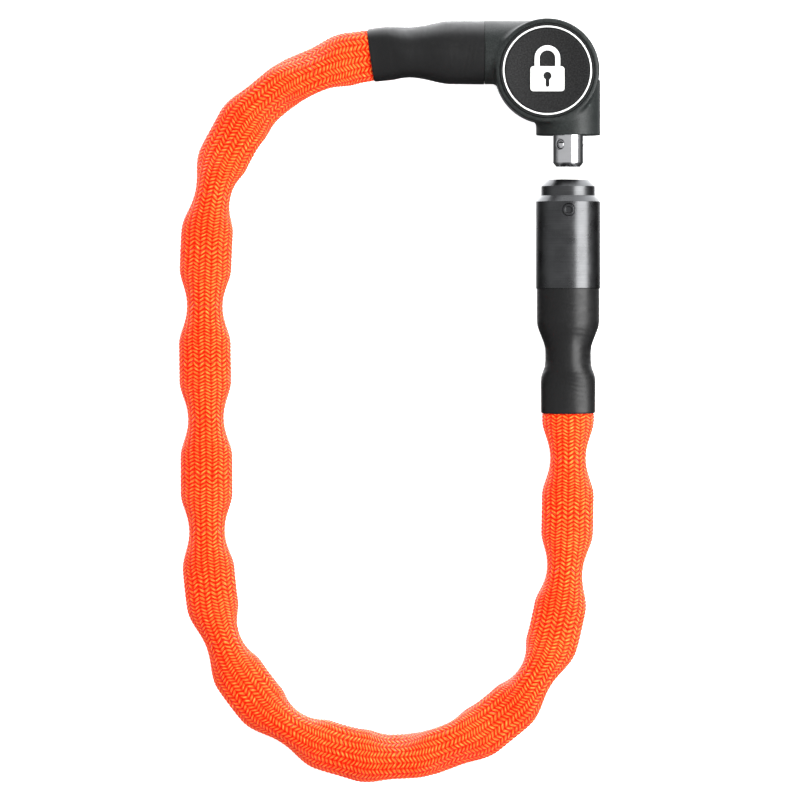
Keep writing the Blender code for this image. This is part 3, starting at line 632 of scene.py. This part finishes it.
def sleeve_radius(u, angle):
    k = np.clip(np.floor(u).astype(int), 0, LINKS - 2)
    swell = 0.0
    for n in (k, k + 1):
        share = 1 - smooth((np.abs(u - n) - SLEEVE_FULL_TO) / (1 - SLEEVE_FULL_TO))
        swell = swell + share * np.cos(angle - ROLLS[n]) ** 2
    return SLEEVE_NARROW + (SLEEVE_WIDE - SLEEVE_NARROW) * swell


def round_the_line(u, angle, radius):
    """Points round the chain's line, flattened where the tube lies on the floor."""
    point, level, up = chain_frames(u)
    point = point + (radius * np.cos(angle))[..., None] * level + (radius * np.sin(angle))[..., None] * up
    low = REST_Z - point[..., 2]
    point[..., 2] += np.where(low > -0.3, np.maximum(low, 0) + 0.1 * np.exp(-np.abs(low) / 0.1), 0)
    return point


def head_station(x):
    return (CENTRES[0][0] - x) / PITCH


def barrel_station(along):
    return LINKS - 1 + (along + PITCH / 2) / PITCH


HEAD_MOUTH = head_station(HEAD_MOUTH_X)
SHRINK_MOUTH = barrel_station(BARREL_MOUTH)


# ---------------------------------------------------------------- woven sleeve


def even_angles(u_low, u_high, count):
    """Angles that part the sleeve's outline into equal lengths, for stations between two ends."""
    stations = np.linspace(u_low, u_high, 50)
    fine = np.linspace(0, 2 * math.pi, 241) + math.pi / 2
    radius = sleeve_radius(stations[:, None], fine[None, :])
    x, y = radius * np.cos(fine), radius * np.sin(fine)
    steps = np.hypot(np.diff(x, axis=1), np.diff(y, axis=1))
    length = np.concatenate([np.zeros((len(stations), 1)), np.cumsum(steps, axis=1)], axis=1)
    shares = np.arange(count) / count
    table = np.array([np.interp(shares * row[-1], row, fine) for row in length])
    return stations, table


def strand_relief(phase, across):
    """Height of the braid from 0 to 1, by the phase across a strand and the place along it."""
    hump = np.sin(np.pi * phase) ** 0.8
    over = np.sin(np.pi * across) ** 0.6
    return hump * (0.5 + 0.5 * over)


def grid_faces(rows, sides, start=0, flip=False):
    """Quads between rings of equal size, one after the other."""
    n = np.arange(sides)
    after = (n + 1) % sides
    base = start + np.arange(rows - 1)[:, None] * sides
    quads = np.stack([base + n, base + after, base + sides + after, base + sides + n], axis=-1)
    quads = quads.reshape(-1, 4)
    return quads[:, ::-1] if flip else quads


def tube_faces(outer, inner, sides):
    """The faces of a tube's outside, inside and two ends, for so many outer and inner rings."""
    faces = [grid_faces(outer, sides, 0, True), grid_faces(inner, sides, outer * sides)]
    around = np.arange(sides)
    after = (around + 1) % sides
    for a, b, flip in ((0, outer, False), (outer - 1, outer + inner - 1, True)):
        corners = [a * sides + around, a * sides + after, b * sides + after, b * sides + around]
        rim = np.stack(corners, axis=-1)
        faces.append(rim[:, ::-1] if flip else rim)
    return np.concatenate(faces).tolist()


def sleeve_segment(number):
    """The sleeve over one contact, from the centre of one link to the centre of the next."""
    u_low, u_high = number - 1, number
    if number == 2:
        u_low = number - 1 - 1 / ROWS
    first = round((u_low - (number - 1)) * ROWS * ROW_STEPS)
    last = ROWS * ROW_STEPS
    if number >= LINKS - 2:
        last = round((SHRINK_MOUTH + 0.05 - u_low) * ROWS * ROW_STEPS)
    rings = np.arange(first, last + 1)
    sides = COLUMNS * COLUMN_STEPS
    column = np.arange(sides) / COLUMN_STEPS
    across = column % 1.0
    slant = STRAND_SLANT * (np.where(column.astype(int) % 2 == 0, across, 1 - across) - 0.5)
    u = (number - 1) + (rings[:, None] / ROW_STEPS + slant[None, :]) / ROWS
    stations, table = even_angles(u.min(), u.max(), sides)
    angle = np.array([np.interp(u[:, m], stations, table[:, m]) for m in range(sides)]).T
    relief = strand_relief((rings % ROW_STEPS / ROW_STEPS)[:, None], across[None, :])
    tuck = 1.1 * (1 - smooth((u - HEAD_MOUTH) / 0.03 + 0.3)) + 1.1 * smooth((u - SHRINK_MOUTH) / 0.03 + 0.7)
    radius = sleeve_radius(u, angle) - tuck
    outer = round_the_line(u, angle, radius + STRAND_RISE - STRAND_DEPTH * (1 - relief))
    inner_rings = np.linspace(0, len(rings) - 1, 14).round().astype(int)
    inner_radius = radius[inner_rings] - SLEEVE_WALL + STRAND_RISE
    inner = round_the_line(u[inner_rings], angle[inner_rings], inner_radius)
    points = np.concatenate([outer.reshape(-1, 3), inner.reshape(-1, 3)])
    count = len(rings)
    faces = tube_faces(count, len(inner_rings), sides)
    made = mesh_object(f"sleeve_{number:02d}", points, faces, MATERIALS["weave"], 180)
    outward(made, 180)
    # The strand height also drives the braid material's painted shade in the grooves and painted highlight on the
    # crowns.
    heights = np.concatenate([relief.ravel(), np.zeros(inner.shape[0] * sides)])
    height = made.data.attributes.new("strand_height", "FLOAT", "POINT")
    height.data.foreach_set("value", heights.astype(np.float32))
    run = np.zeros((len(points), 3), np.float32)
    run[: count * sides, 0] = np.repeat(rings / ROW_STEPS, sides)
    run[: count * sides, 1] = np.tile(column, count)
    run[:, 2] = number
    made.data.attributes.new("strand_run", "FLOAT_VECTOR", "POINT").data.foreach_set("vector", run.ravel())
    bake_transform(made)
    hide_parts("sleeve")
    made.visible_glossy = False
    return made


def woven_sleeve():
    for number in range(2, LINKS - 1):
        sleeve_segment(number)


# ---------------------------------------------------------------- heat-shrinks


def between(stations, u):
    """Values interpolated between stations of (u, value, ...), easing in and out of each."""
    places = np.array([s[0] for s in stations])
    low = np.clip(np.searchsorted(places, u, side="right") - 1, 0, len(places) - 2)
    share = smooth((u - places[low]) / (places[low + 1] - places[low]))
    values = np.array([s[1:] for s in stations]).T
    return values[:, low] * (1 - share) + values[:, low + 1] * share


def smooth_max(a, b, softness):
    overlap = np.maximum(softness - np.abs(a - b), 0) / softness
    return np.maximum(a, b) + overlap**2 * softness / 4


def heat_shrink(name, stations, node, mouth_first):
    """A shrunk tube. stations holds (station, level radius, upright radius) rows from the head's side."""
    sides, rings = 144, 210
    u = np.linspace(stations[0][0], stations[-1][0], rings)
    angle = np.arange(sides) * 2 * math.pi / sides
    level, upright = between(stations, u)
    shape = 1 / np.hypot(np.cos(angle)[None, :] / level[:, None], np.sin(angle)[None, :] / upright[:, None])
    grid_u, grid_a = np.broadcast_arrays(u[:, None], angle[None, :])
    radius = smooth_max(shape, sleeve_radius(grid_u, grid_a) + SHRINK_COVER, SHRINK_SOFTNESS)
    mouth = u[0] if mouth_first else u[-1]
    taper = smooth(np.abs(u - mouth) * PITCH / MOUTH_ROLL_LENGTH)[:, None]
    wander = 2.1 * np.sin(3 * grid_a + 5 * grid_u)
    ripple = SHRINK_RIPPLE * np.sin(grid_u * 61 + wander) * np.sin(2 * grid_a + 9 * grid_u)
    for end in (u[0], u[-1]):
        ripple = ripple * smooth((np.abs(u - end) * PITCH - 1) / 4)[:, None]
    outer = round_the_line(grid_u, grid_a, radius + ripple - MOUTH_ROLL * (1 - taper))
    inner_rings = np.linspace(0, rings - 1, 60).round().astype(int)
    inner = round_the_line(grid_u[inner_rings], grid_a[inner_rings], radius[inner_rings] - SHRINK_WALL)
    points = np.concatenate([outer.reshape(-1, 3), inner.reshape(-1, 3)])
    faces = tube_faces(rings, len(inner_rings), sides)
    made = mesh_object(name, points, faces, MATERIALS["heat_shrink"], 50)
    outward(made, 50)
    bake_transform(made)
    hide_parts(node)


def heat_shrinks():
    head = [(46.85, 15.9, 15.9), (30.5, 15.85, 15.85), (10.0, 12.6, 13.6), (0.0, 13.2, 12.0)]
    head += [(HEAD_MOUTH_X, 12.9, 10.2)]
    stations = [(head_station(x), *radii) for x, *radii in head]
    heat_shrink("head_shrink_tube", stations, "head_heat_shrink", False)
    barrel = [(BARREL_MOUTH, 12.9, 10.2), (-30.5, 13.2, 11.0), (-23.0, 11.4, 11.6), (-17.0, 11.4, 12.6)]
    barrel += [(-1.5, 15.6, 15.6), (14.36, 15.6, 15.6)]
    stations = [(barrel_station(d), *radii) for d, *radii in barrel]
    heat_shrink("barrel_shrink_tube", stations, "barrel_heat_shrink", True)


# ---------------------------------------------------------------- head


def drum_place(x=0.0, y=0.0, z=0.0):
    return Matrix.Translation((DRUM.x + x, DRUM.y + y, z))


def stud_place(y):
    """A frame on the stud's axis whose Z axis points from the head to the stud's tip."""
    return axis_place((STUD_X, y, AXIS_Z), (0, -1, 0))


def post_spots():
    return [(POST_RING * math.cos(a), POST_RING * math.sin(a)) for a in map(math.radians, POST_ANGLES)]


def rounded_cylinder(points, origin, axis, radius, low, high, edge):
    """Distance from points to a cylinder with rounded edges."""
    along = (points - origin) @ axis
    away = np.linalg.norm(points - origin - along[:, None] * axis, axis=1)
    beyond_side = away - (radius - edge)
    beyond_end = np.abs(along - (low + high) / 2) - ((high - low) / 2 - edge)
    outside = np.hypot(np.maximum(beyond_side, 0), np.maximum(beyond_end, 0))
    return outside + np.minimum(np.maximum(beyond_side, beyond_end), 0) - edge


def merged(a, b, softness):
    """The smaller of two distances, with a fillet where they meet."""
    overlap = np.maximum(softness - np.abs(a - b), 0) / softness
    return np.minimum(a, b) - overlap**2 * softness / 4


def away_from(points, origin, axis):
    """Unit vectors from an axis to points, and the points' distances from it."""
    along = (points - origin) @ axis
    radial = points - origin - along[:, None] * axis
    away = np.linalg.norm(radial, axis=1)
    return radial / np.maximum(away, 1e-9)[:, None], away


def housing_distance(points):
    """Distance to the housing's outer skin: a drum that flows into the socket and the stud's tube."""
    up, left, front = np.array((0, 0, 1.0)), np.array((-1.0, 0, 0)), np.array((0, -1.0, 0))
    drum_from = np.array((DRUM.x, DRUM.y, 0.0))
    socket_from = np.array((DRUM.x, SOCKET_Y, AXIS_Z))
    tube_from = np.array((STUD_X, DRUM.y, AXIS_Z))
    drum_out, away = away_from(points, drum_from, up)
    whole = away - DRUM_RADIUS
    arms = [
        (socket_from, left, SOCKET_RADIUS, DRUM.x - SOCKET_SHOULDER_X, 0.5, SOCKET_FILLET),
        (tube_from, front, TUBE_RADIUS, DRUM.y - TUBE_FACE_Y, 0.6, TUBE_FILLET),
    ]
    for origin, axis, radius, length, edge, fillet in arms:
        arm = rounded_cylinder(points, origin, axis, radius, 4.0, length, edge)
        out, _ = away_from(points, origin, axis)
        across = np.clip(1 - (out * drum_out).sum(axis=1), 0, 1)
        whole = merged(whole, arm, np.maximum(fillet * across, 0.001))
    slab = np.abs(points[:, 2] - DRUM_TOP / 2) - DRUM_TOP / 2
    whole = smooth_max(whole, slab, RIM_SOFTNESS)
    fork_end = DRUM.x - CONTACTS[0][0] + 10.0
    return np.minimum(whole, rounded_cylinder(points, socket_from, left, FORK_RADIUS, 4.0, fork_end, 5.0))


def joined(name, shells):
    """One object that holds several shells, which may run through each other."""
    points, faces = [], []
    for shell in shells:
        faces += [tuple(len(points) + n for n in face.vertices) for face in shell.data.polygons]
        points += [tuple(v.co / MM) for v in shell.data.vertices]
        bpy.data.objects.remove(shell)
    return mesh_object(name, points, faces)


def housing_skin():
    """A fine even mesh, drawn onto the skin given by housing_distance."""
    along_socket = axis_place((DRUM.x, SOCKET_Y, AXIS_Z), (-1, 0, 0))
    shells = [
        cylinder("drum", DRUM_RADIUS, 0, DRUM_TOP, drum_place()),
        cylinder("socket", SOCKET_RADIUS, 4, DRUM.x - SOCKET_SHOULDER_X, along_socket),
        cylinder("fork", FORK_RADIUS, 6, DRUM.x - CONTACTS[0][0] + 10.0, along_socket),
        cylinder("tube", TUBE_RADIUS, 5, DRUM.y - TUBE_FACE_Y, stud_place(DRUM.y)),
    ]
    rough = joined("housing_rough", shells)
    mesher = rough.modifiers.new("even mesh", "REMESH")
    mesher.mode = "VOXEL"
    mesher.voxel_size = HOUSING_GRAIN * MM
    settle(rough, 180)
    mesh = rough.data
    spots = np.zeros(len(mesh.vertices) * 3, np.float32)
    mesh.vertices.foreach_get("co", spots)
    points = spots.reshape(-1, 3).astype(float) / MM
    step = 0.02
    for _ in range(8):
        distance = housing_distance(points)
        slope = np.empty_like(points)
        for k in range(3):
            shift = np.zeros(3)
            shift[k] = step
            slope[:, k] = (housing_distance(points + shift) - housing_distance(points - shift)) / (2 * step)
        points -= distance[:, None] * slope / np.maximum((slope**2).sum(axis=1), 0.25)[:, None]
    mesh.vertices.foreach_set("co", (points * MM).astype(np.float32).ravel())
    mesh.update()
    return rough


def housing_cutters():
    """What is cut from the housing: seats, the cavity round its posts, stud bores and the fork's slot."""
    past = 2.0
    profile = [(0, -past), (PLATE_SEAT, -past), (PLATE_SEAT, CAVITY_FLOOR), (CAVITY_RADIUS, CAVITY_FLOOR)]
    profile += [(CAVITY_RADIUS, CAVITY_CEILING, 1.0), (0, CAVITY_CEILING)]
    hollow = turned("hollow", profile, None, drum_place(), 128)
    posts, holes = [], []
    for n, (x, y) in enumerate(post_spots()):
        posts.append(cylinder(f"post_{n}", 3.2, CAVITY_FLOOR, CAVITY_CEILING + 1, drum_place(x, y), 32))
        holes.append(cylinder(f"hole_{n}", 1.75, CAVITY_FLOOR - 0.5, 12, drum_place(x, y), 24))
    combine(hollow, "DIFFERENCE", posts)
    front = [(0, FRONT_FLOOR), (FRONT_SEAT, FRONT_FLOOR)]
    front += [(FRONT_SEAT, DRUM_TOP + past), (0, DRUM_TOP + past)]
    radius = NOSE_RADIUS + 0.5
    recess = [(0, -NOSE_RECESS), (radius - 3.0, -NOSE_RECESS), (radius, 3.3 - NOSE_RECESS), (radius, -0.6)]
    recess += [(radius + 0.6, 0.1), (radius + 0.6, past), (0, past)]
    bore = STUD_RADIUS + GAP
    stud = [(0, -12.0), (10.8, -12.0), (10.8, 4.3), (bore, 4.3), (bore, 12.0), (0, 12.0)]
    flange_y = TUBE_FACE_Y + 16.1
    pin_place = axis_place((CONTACTS[0][0] - 3.75, SOCKET_Y, AXIS_Z), (0, 1, 0))
    slot_place = Matrix.Translation(CONTACTS[0].tolist())
    return [
        hollow,
        *holes,
        turned("front_cut", front, None, drum_place(), 160),
        turned("recess_cut", recess, None, stud_place(TUBE_FACE_Y), 128),
        turned("stud_cut", stud, None, stud_place(flange_y), 96),
        box("slot", (-40.0, -4.0, -20.0), (7.2, 4.0, 20.0), slot_place),
        cylinder("pin_cut", 3.4, -18, 18, pin_place, 32),
    ]


def head_housing():
    housing = combine(housing_skin(), "DIFFERENCE", housing_cutters())
    housing.name = "housing_body"
    weld(housing.data, 0.003)
    wear(housing, "housing", "lock_head", "head_housing")


def front_pieces():
    low = FRONT_FLOOR + GAP
    bezel = [(22.7, low), (23.4, low), (23.4, DRUM_TOP - 0.1, 0.15), (22.7, DRUM_TOP - 0.1, 0.15)]
    wear(turned("bezel_ring", bezel, None, drum_place(), 192), "dark_coat", "lock_head", "front_bezel")
    top = DRUM_TOP - 0.2
    ring = [(21.4, low), (22.25, low), (22.25, top, 0.12), (21.4, top, 0.12)]
    wear(turned("trim_ring", ring, None, drum_place(), 192), "white_trim", "lock_head", "front_ring")
    top = DRUM_TOP - 0.6
    disc = [(0, low), (20.95, low), (20.95, top, 0.3), (20.0, top), (19.9, top - 0.05), (0, top)]
    wear(turned("front_face", disc, None, drum_place(), 192), "charcoal", "lock_head", "front_disc")
    padlock_sign()


def arc(x, y, radius, start, end, steps=12):
    turns = [math.radians(start + (end - start) * n / steps) for n in range(steps + 1)]
    return [(x + radius * math.cos(a), y + radius * math.sin(a)) for a in turns]


def padlock_sign():
    """A plain padlock sign, as a flat shape with holes and soft edges."""
    half, bottom, top, corner = 8.5, -10.5, 2.0, 1.6
    shackle_y, outer_r, inner_r = 6.0, 6.4, 3.9
    outline = arc(-half + corner, bottom + corner, corner, 180, 270)
    outline += arc(half - corner, bottom + corner, corner, 270, 360)
    outline += arc(half - corner, top - corner, corner, 0, 90) + [(outer_r, top)]
    outline += arc(0, shackle_y, outer_r, 0, 180, 28) + [(-outer_r, top)]
    outline += arc(-half + corner, top - corner, corner, 90, 180)
    eye = [(inner_r, top), *arc(0, shackle_y, inner_r, 0, 180, 24), (-inner_r, top)]
    keyhole = arc(0, -2.8, 2.0, -62, 242, 22)
    keyhole += [(-0.95, -7.4), *arc(0, -7.4, 0.95, 180, 360, 8), (0.95, -7.4)]
    data = bpy.data.curves.new("padlock_sign", "CURVE")
    data.dimensions = "2D"
    data.fill_mode = "BOTH"
    data.extrude = 0.22 * MM
    data.bevel_depth = 0.08 * MM
    data.bevel_resolution = 2
    data.offset = -0.08 * MM
    for loop in (outline, eye, keyhole):
        spline = data.splines.new("POLY")
        spline.points.add(len(loop) - 1)
        for point, (x, y) in zip(spline.points, loop):
            point.co = (x * MM, y * MM, 0, 1)
        spline.use_cyclic_u = True
    drawn = bpy.data.objects.new("padlock_curve", data)
    bpy.context.scene.collection.objects.link(drawn)
    bpy.context.view_layer.update()
    mesh = bpy.data.meshes.new_from_object(drawn.evaluated_get(bpy.context.evaluated_depsgraph_get()))
    bpy.data.objects.remove(drawn)
    weld(mesh, 0.002)
    mesh.transform(Matrix.Translation(Vector((DRUM.x, DRUM.y, DRUM_TOP - 0.3)) * MM))
    sign = bpy.data.objects.new("padlock_sign", mesh)
    bpy.context.scene.collection.objects.link(sign)
    mesh.shade_smooth()
    mesh.set_sharp_from_angle(angle=math.radians(32))
    wear(sign, "white_trim", "lock_head", "front_emblem")


def ball_directions():
    return [Vector((math.sin(a), 0, math.cos(a))) for a in map(math.radians, BALL_ANGLES)]


def stud_and_balls():
    flange_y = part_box("locking_stud")[1].y / MM
    tip_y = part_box("locking_stud")[0].y / MM
    length = flange_y - tip_y
    bore_end = length - 2.2
    profile = [(0, bore_end), (4.5, bore_end), (4.5, 0, 0.3), (10.4, 0, 0.4), (10.4, 4.0, 0.4)]
    profile += [(STUD_RADIUS, 4.0, 0.3), (STUD_RADIUS, length - 2.1, 0.15)]
    profile += [(6.0, length, 0.15), (0, length)]
    stud = turned("stud", profile, None, stud_place(flange_y), 128)
    tools = []
    for n, direction in enumerate(ball_directions(), 1):
        ball_centre = centre(f"locking_ball_{n}")
        hole = BALL_RADIUS + 0.15
        seat = [(0, -2.6), (hole, -2.6), (hole, 1.4), (hole + 0.7, 2.5), (hole + 0.7, 5.0), (0, 5.0)]
        tools.append(turned(f"seat_{n}", seat, None, axis_place(ball_centre, direction), 48))
    wear(combine(stud, "DIFFERENCE", tools), "chrome", "lock_head", "locking_stud")
    steps = 28
    for n, direction in enumerate(ball_directions(), 1):
        turns = [math.pi * m / steps for m in range(1, steps)]
        arcs = [(BALL_RADIUS * math.sin(a), -BALL_RADIUS * math.cos(a)) for a in turns]
        profile = [(0, -BALL_RADIUS), *arcs, (0, BALL_RADIUS)]
        spot = axis_place(centre(f"locking_ball_{n}"), direction)
        ball = turned(f"ball_{n}_sphere", profile, None, spot, 48, 180)
        wear(ball, "chrome", f"ball_{n}", f"locking_ball_{n}")


def coil_spring():
    """The plunger's spring: a fixed coil drawn inside the CAD spring's box."""
    low, high = (np.array(corner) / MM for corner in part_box("plunger_spring"))
    wire, steps, sides = 0.4, 120, 12
    along = np.linspace(low[1] + wire, high[1] - wire, steps + 1)
    turn = np.linspace(0, SPRING_TURNS * 2 * math.pi, steps + 1)
    out = np.stack([np.cos(turn), np.zeros(steps + 1), np.sin(turn)], axis=-1)
    x = (low[0] + high[0]) / 2
    middle = np.stack([np.full(steps + 1, x), along, np.full(steps + 1, AXIS_Z)], axis=-1)
    around = np.arange(sides) * 2 * math.pi / sides
    outward_part = np.cos(around)[None, :, None] * out[:, None, :]
    along_part = np.sin(around)[None, :, None] * np.array([0, 1.0, 0])
    points = (middle + SPRING_RADIUS * out)[:, None, :] + wire * (outward_part + along_part)
    faces = grid_faces(steps + 1, sides).tolist()
    faces += [list(range(sides))[::-1], list(range(steps * sides, (steps + 1) * sides))]
    spring = outward(mesh_object("plunger_coil", points.reshape(-1, 3), faces, None, 60), 60)
    wear(spring, "steel", "lock_head", "plunger_spring")
    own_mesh(spring)


def back_pieces():
    """The back plate with its recess, the screws, the key plug and the keyhole cover."""
    hole, top = 5.2, CAVITY_FLOOR - GAP
    outer, recess = PLATE_SEAT - GAP, 19.5
    profile = [(hole, RECESS_DEPTH, 0.2), (recess, RECESS_DEPTH, 0.3), (recess, 0, 0.3)]
    profile += [(outer, 0, 0.5), (outer, top), (hole, top)]
    plate = turned("rear_cover", profile, None, drum_place(), 160)
    tools = []
    for n, (x, y) in enumerate(post_spots()):
        steps = [(0, -1), (3.2, -1), (3.2, 1.6), (2.8, 2.25), (2.8, 3.1), (1.7, 3.1), (1.7, 8.0), (0, 8.0)]
        tools.append(turned(f"screw_seat_{n}", steps, None, drum_place(x, y), 40))
    tools.append(cylinder("rivet_cut", 1.8, -1, 8, drum_place(-COVER_ARM), 32))
    wear(combine(plate, "DIFFERENCE", tools), "dark_coat", "lock_head", "back_plate")
    for n, (x, y) in enumerate(post_spots(), 1):
        face = RECESS_DEPTH + 0.1
        profile = [(0, face), (2.5, face, 0.25), (2.5, 2.8), (1.4, 2.8)]
        profile += [(1.4, 10.6), (1.1, 11.0), (0, 11.0)]
        screw = turned(f"rear_screw_{n}", profile, None, drum_place(x, y), 48)
        socket = cylinder("hex", 1.35, 0, face + 0.75, drum_place(x, y), 6)
        wear(combine(screw, "DIFFERENCE", [socket]), "steel", "lock_head", f"back_screw_{n}")
    key_plug()
    keyhole_leaf()


def key_plug():
    face, top = RECESS_DEPTH + 0.3, 24.0
    profile = [(0, face), (4.9, face, 0.35), (4.9, top, 0.2), (0, top)]
    plug = turned("key_plug_body", profile, None, drum_place(), 96)
    slot = box("keyway", (-0.9, -3.4, 0), (0.9, 3.4, 20), drum_place())
    ward_low = box("ward_low", (-0.9, -2.4, 0), (-0.35, -1.2, 20), drum_place())
    ward_high = box("ward_high", (0.35, 0.8, 0), (0.9, 2.0, 20), drum_place())
    combine(slot, "DIFFERENCE", [ward_low, ward_high])
    wear(combine(plug, "DIFFERENCE", [slot]), "brass", "key_plug", "cylinder_plug")
    bore, low = 5.2, CAVITY_FLOOR
    profile = [(bore, low, 0.2), (10.5, low, 0.3), (10.5, low + 1.4, 0.3), (7.5, low + 1.4)]
    profile += [(7.5, 23.6, 0.3), (bore, 23.6, 0.2)]
    wear(turned("plug_shell", profile, None, drum_place(), 96), "steel", "lock_head", "cylinder_shell")


def keyhole_leaf():
    """The leaf over the keyhole: a disc and a small ear round its rivet, with a thumb dimple."""
    disc, ear = 6.6, 3.0
    lean = math.degrees(math.acos((disc - ear) / COVER_ARM))
    edge = 180 - lean
    outline = arc(COVER_ARM, 0, disc, -edge, edge, 56) + arc(0, 0, ear, edge, 360 - edge, 28)
    low, high = RECESS_DEPTH - 1.0, RECESS_DEPTH - GAP
    soft = 0.18
    rows = [(soft, low), (0.0, low + soft), (0.0, high - 0.05), (0.05, high)]
    middle = np.array((COVER_ARM / 2, 0.0))
    points = []
    for inset, height in rows:
        for x, y in outline:
            towards = middle - (x, y)
            x, y = np.array((x, y)) + towards / np.linalg.norm(towards) * inset
            points.append((x, y, height))
    count = len(outline)
    faces = grid_faces(len(rows), count).tolist()
    faces += [list(range(count))[::-1], list(range((len(rows) - 1) * count, len(rows) * count))]
    leaf = outward(mesh_object("keyhole_leaf", placed(points, drum_place(-COVER_ARM)), faces))
    hole = cylinder("leaf_hole", 1.8, low - 1, high + 1, drum_place(-COVER_ARM), 48)
    dish = [(0, low - 3), (3.4, low - 3), (3.4, low), (2.9, low + 0.22), (0, low + 0.3)]
    thumb = turned("thumb", dish, None, drum_place(3.0), 64)
    wear(combine(leaf, "DIFFERENCE", [hole, thumb]), "steel", "keyhole_cover", "keyhole_cover")
    profile = [(0, 0.15), (2.5, 0.15, 0.3), (2.5, low - GAP), (1.5, low - GAP), (1.5, 3.8), (0, 3.8)]
    pivot = turned("cover_pivot", profile, None, drum_place(-COVER_ARM), 48)
    wear(pivot, "chrome", "lock_head", "cover_rivet")


# ---------------------------------------------------------------- barrel


def barrel_place(along=0.0, radial=None):
    origin = (LAST_CONTACT[0], LAST_CONTACT[1] + along, AXIS_Z)
    return axis_place(origin, radial or (0, 1, 0))


def barrel_pieces():
    lip, inner_top = MOUTH_RADIUS + 0.45, BARREL_NOSE_TOP - 3.4
    profile = [(SHELL_BORE, BARREL_SHOULDER), (BARREL_RADIUS, BARREL_SHOULDER, 0.4)]
    profile += [(BARREL_RADIUS, BARREL_BODY_TOP, 0.2), (NOSE_RADIUS, BARREL_NOSE_BASE, 0.3)]
    profile += [(NOSE_RADIUS, BARREL_NOSE_TOP - 3.3, 0.2)]
    profile += [(10.2, BARREL_NOSE_TOP, 0.3), (lip, BARREL_NOSE_TOP, 0.3), (lip, inner_top)]
    profile += [(SHELL_BORE, inner_top)]
    shell = turned("barrel_body", profile, None, barrel_place(), 160)
    seat = [(0, 9.0), (3.15, 9.0), (3.15, BARREL_RADIUS - 0.35), (3.55, BARREL_RADIUS + 0.05)]
    seat += [(3.55, 19.0), (0, 19.0)]
    cut_place = barrel_place(RIVET_AT, (0, 0, 1))
    combine(shell, "DIFFERENCE", [turned("rivet_seat", seat, None, cut_place, 64)])
    wear(shell, "gunmetal", "barrel", "barrel_shell")
    rivet = [(0, 10.9), (2.9, 10.9), (2.9, 16.0, 0.35), (1.8, 16.0, 0.15), (1.5, 15.4, 0.15), (0, 15.4)]
    wear(turned("barrel_stud_rivet", rivet, None, cut_place, 64), "gunmetal", "barrel", "barrel_rivet")
    bore_end, groove = 42.9, BARREL_NOSE_BASE - 4.5
    outer, high = SHELL_BORE - GAP, BARREL_NOSE_TOP - 3.7
    profile = [(MOUTH_RADIUS, bore_end), (outer, bore_end, 0.3), (outer, high, 0.3)]
    profile += [(MOUTH_RADIUS + 0.6, high), (MOUTH_RADIUS, high - 0.8)]
    profile += [(MOUTH_RADIUS, groove + 2.8, 0.2), (9.4, groove + 2.2, 0.5)]
    profile += [(9.4, groove - 2.2, 0.5), (MOUTH_RADIUS, groove - 2.8, 0.2)]
    liner = turned("barrel_bush", profile, None, barrel_place(), 128)
    pocket = cylinder("pocket", 3.2, 10.6, 18.0, cut_place, 48)
    wear(combine(liner, "DIFFERENCE", [pocket]), "steel", "barrel", "barrel_liner")


# ---------------------------------------------------------------- assembly


def finish_cad_nodes():
    """Gives every CAD node that still shows its own procedural material."""
    slots = {row["node"]: row["material_slot"] for row in frame["record"]["subparts"]}
    for name, node in frame["nodes"].items():
        node.data.materials.clear()
        node.data.materials.append(MATERIALS[slots[name]])
        node.data.shade_smooth()
        node.data.set_sharp_from_angle(angle=math.radians(32))


make_camera()
make_lights()
make_floor()
MATERIALS = make_materials()
finish_cad_nodes()
woven_sleeve()
heat_shrinks()
head_housing()
front_pieces()
stud_and_balls()
coil_spring()
back_pieces()
barrel_pieces()
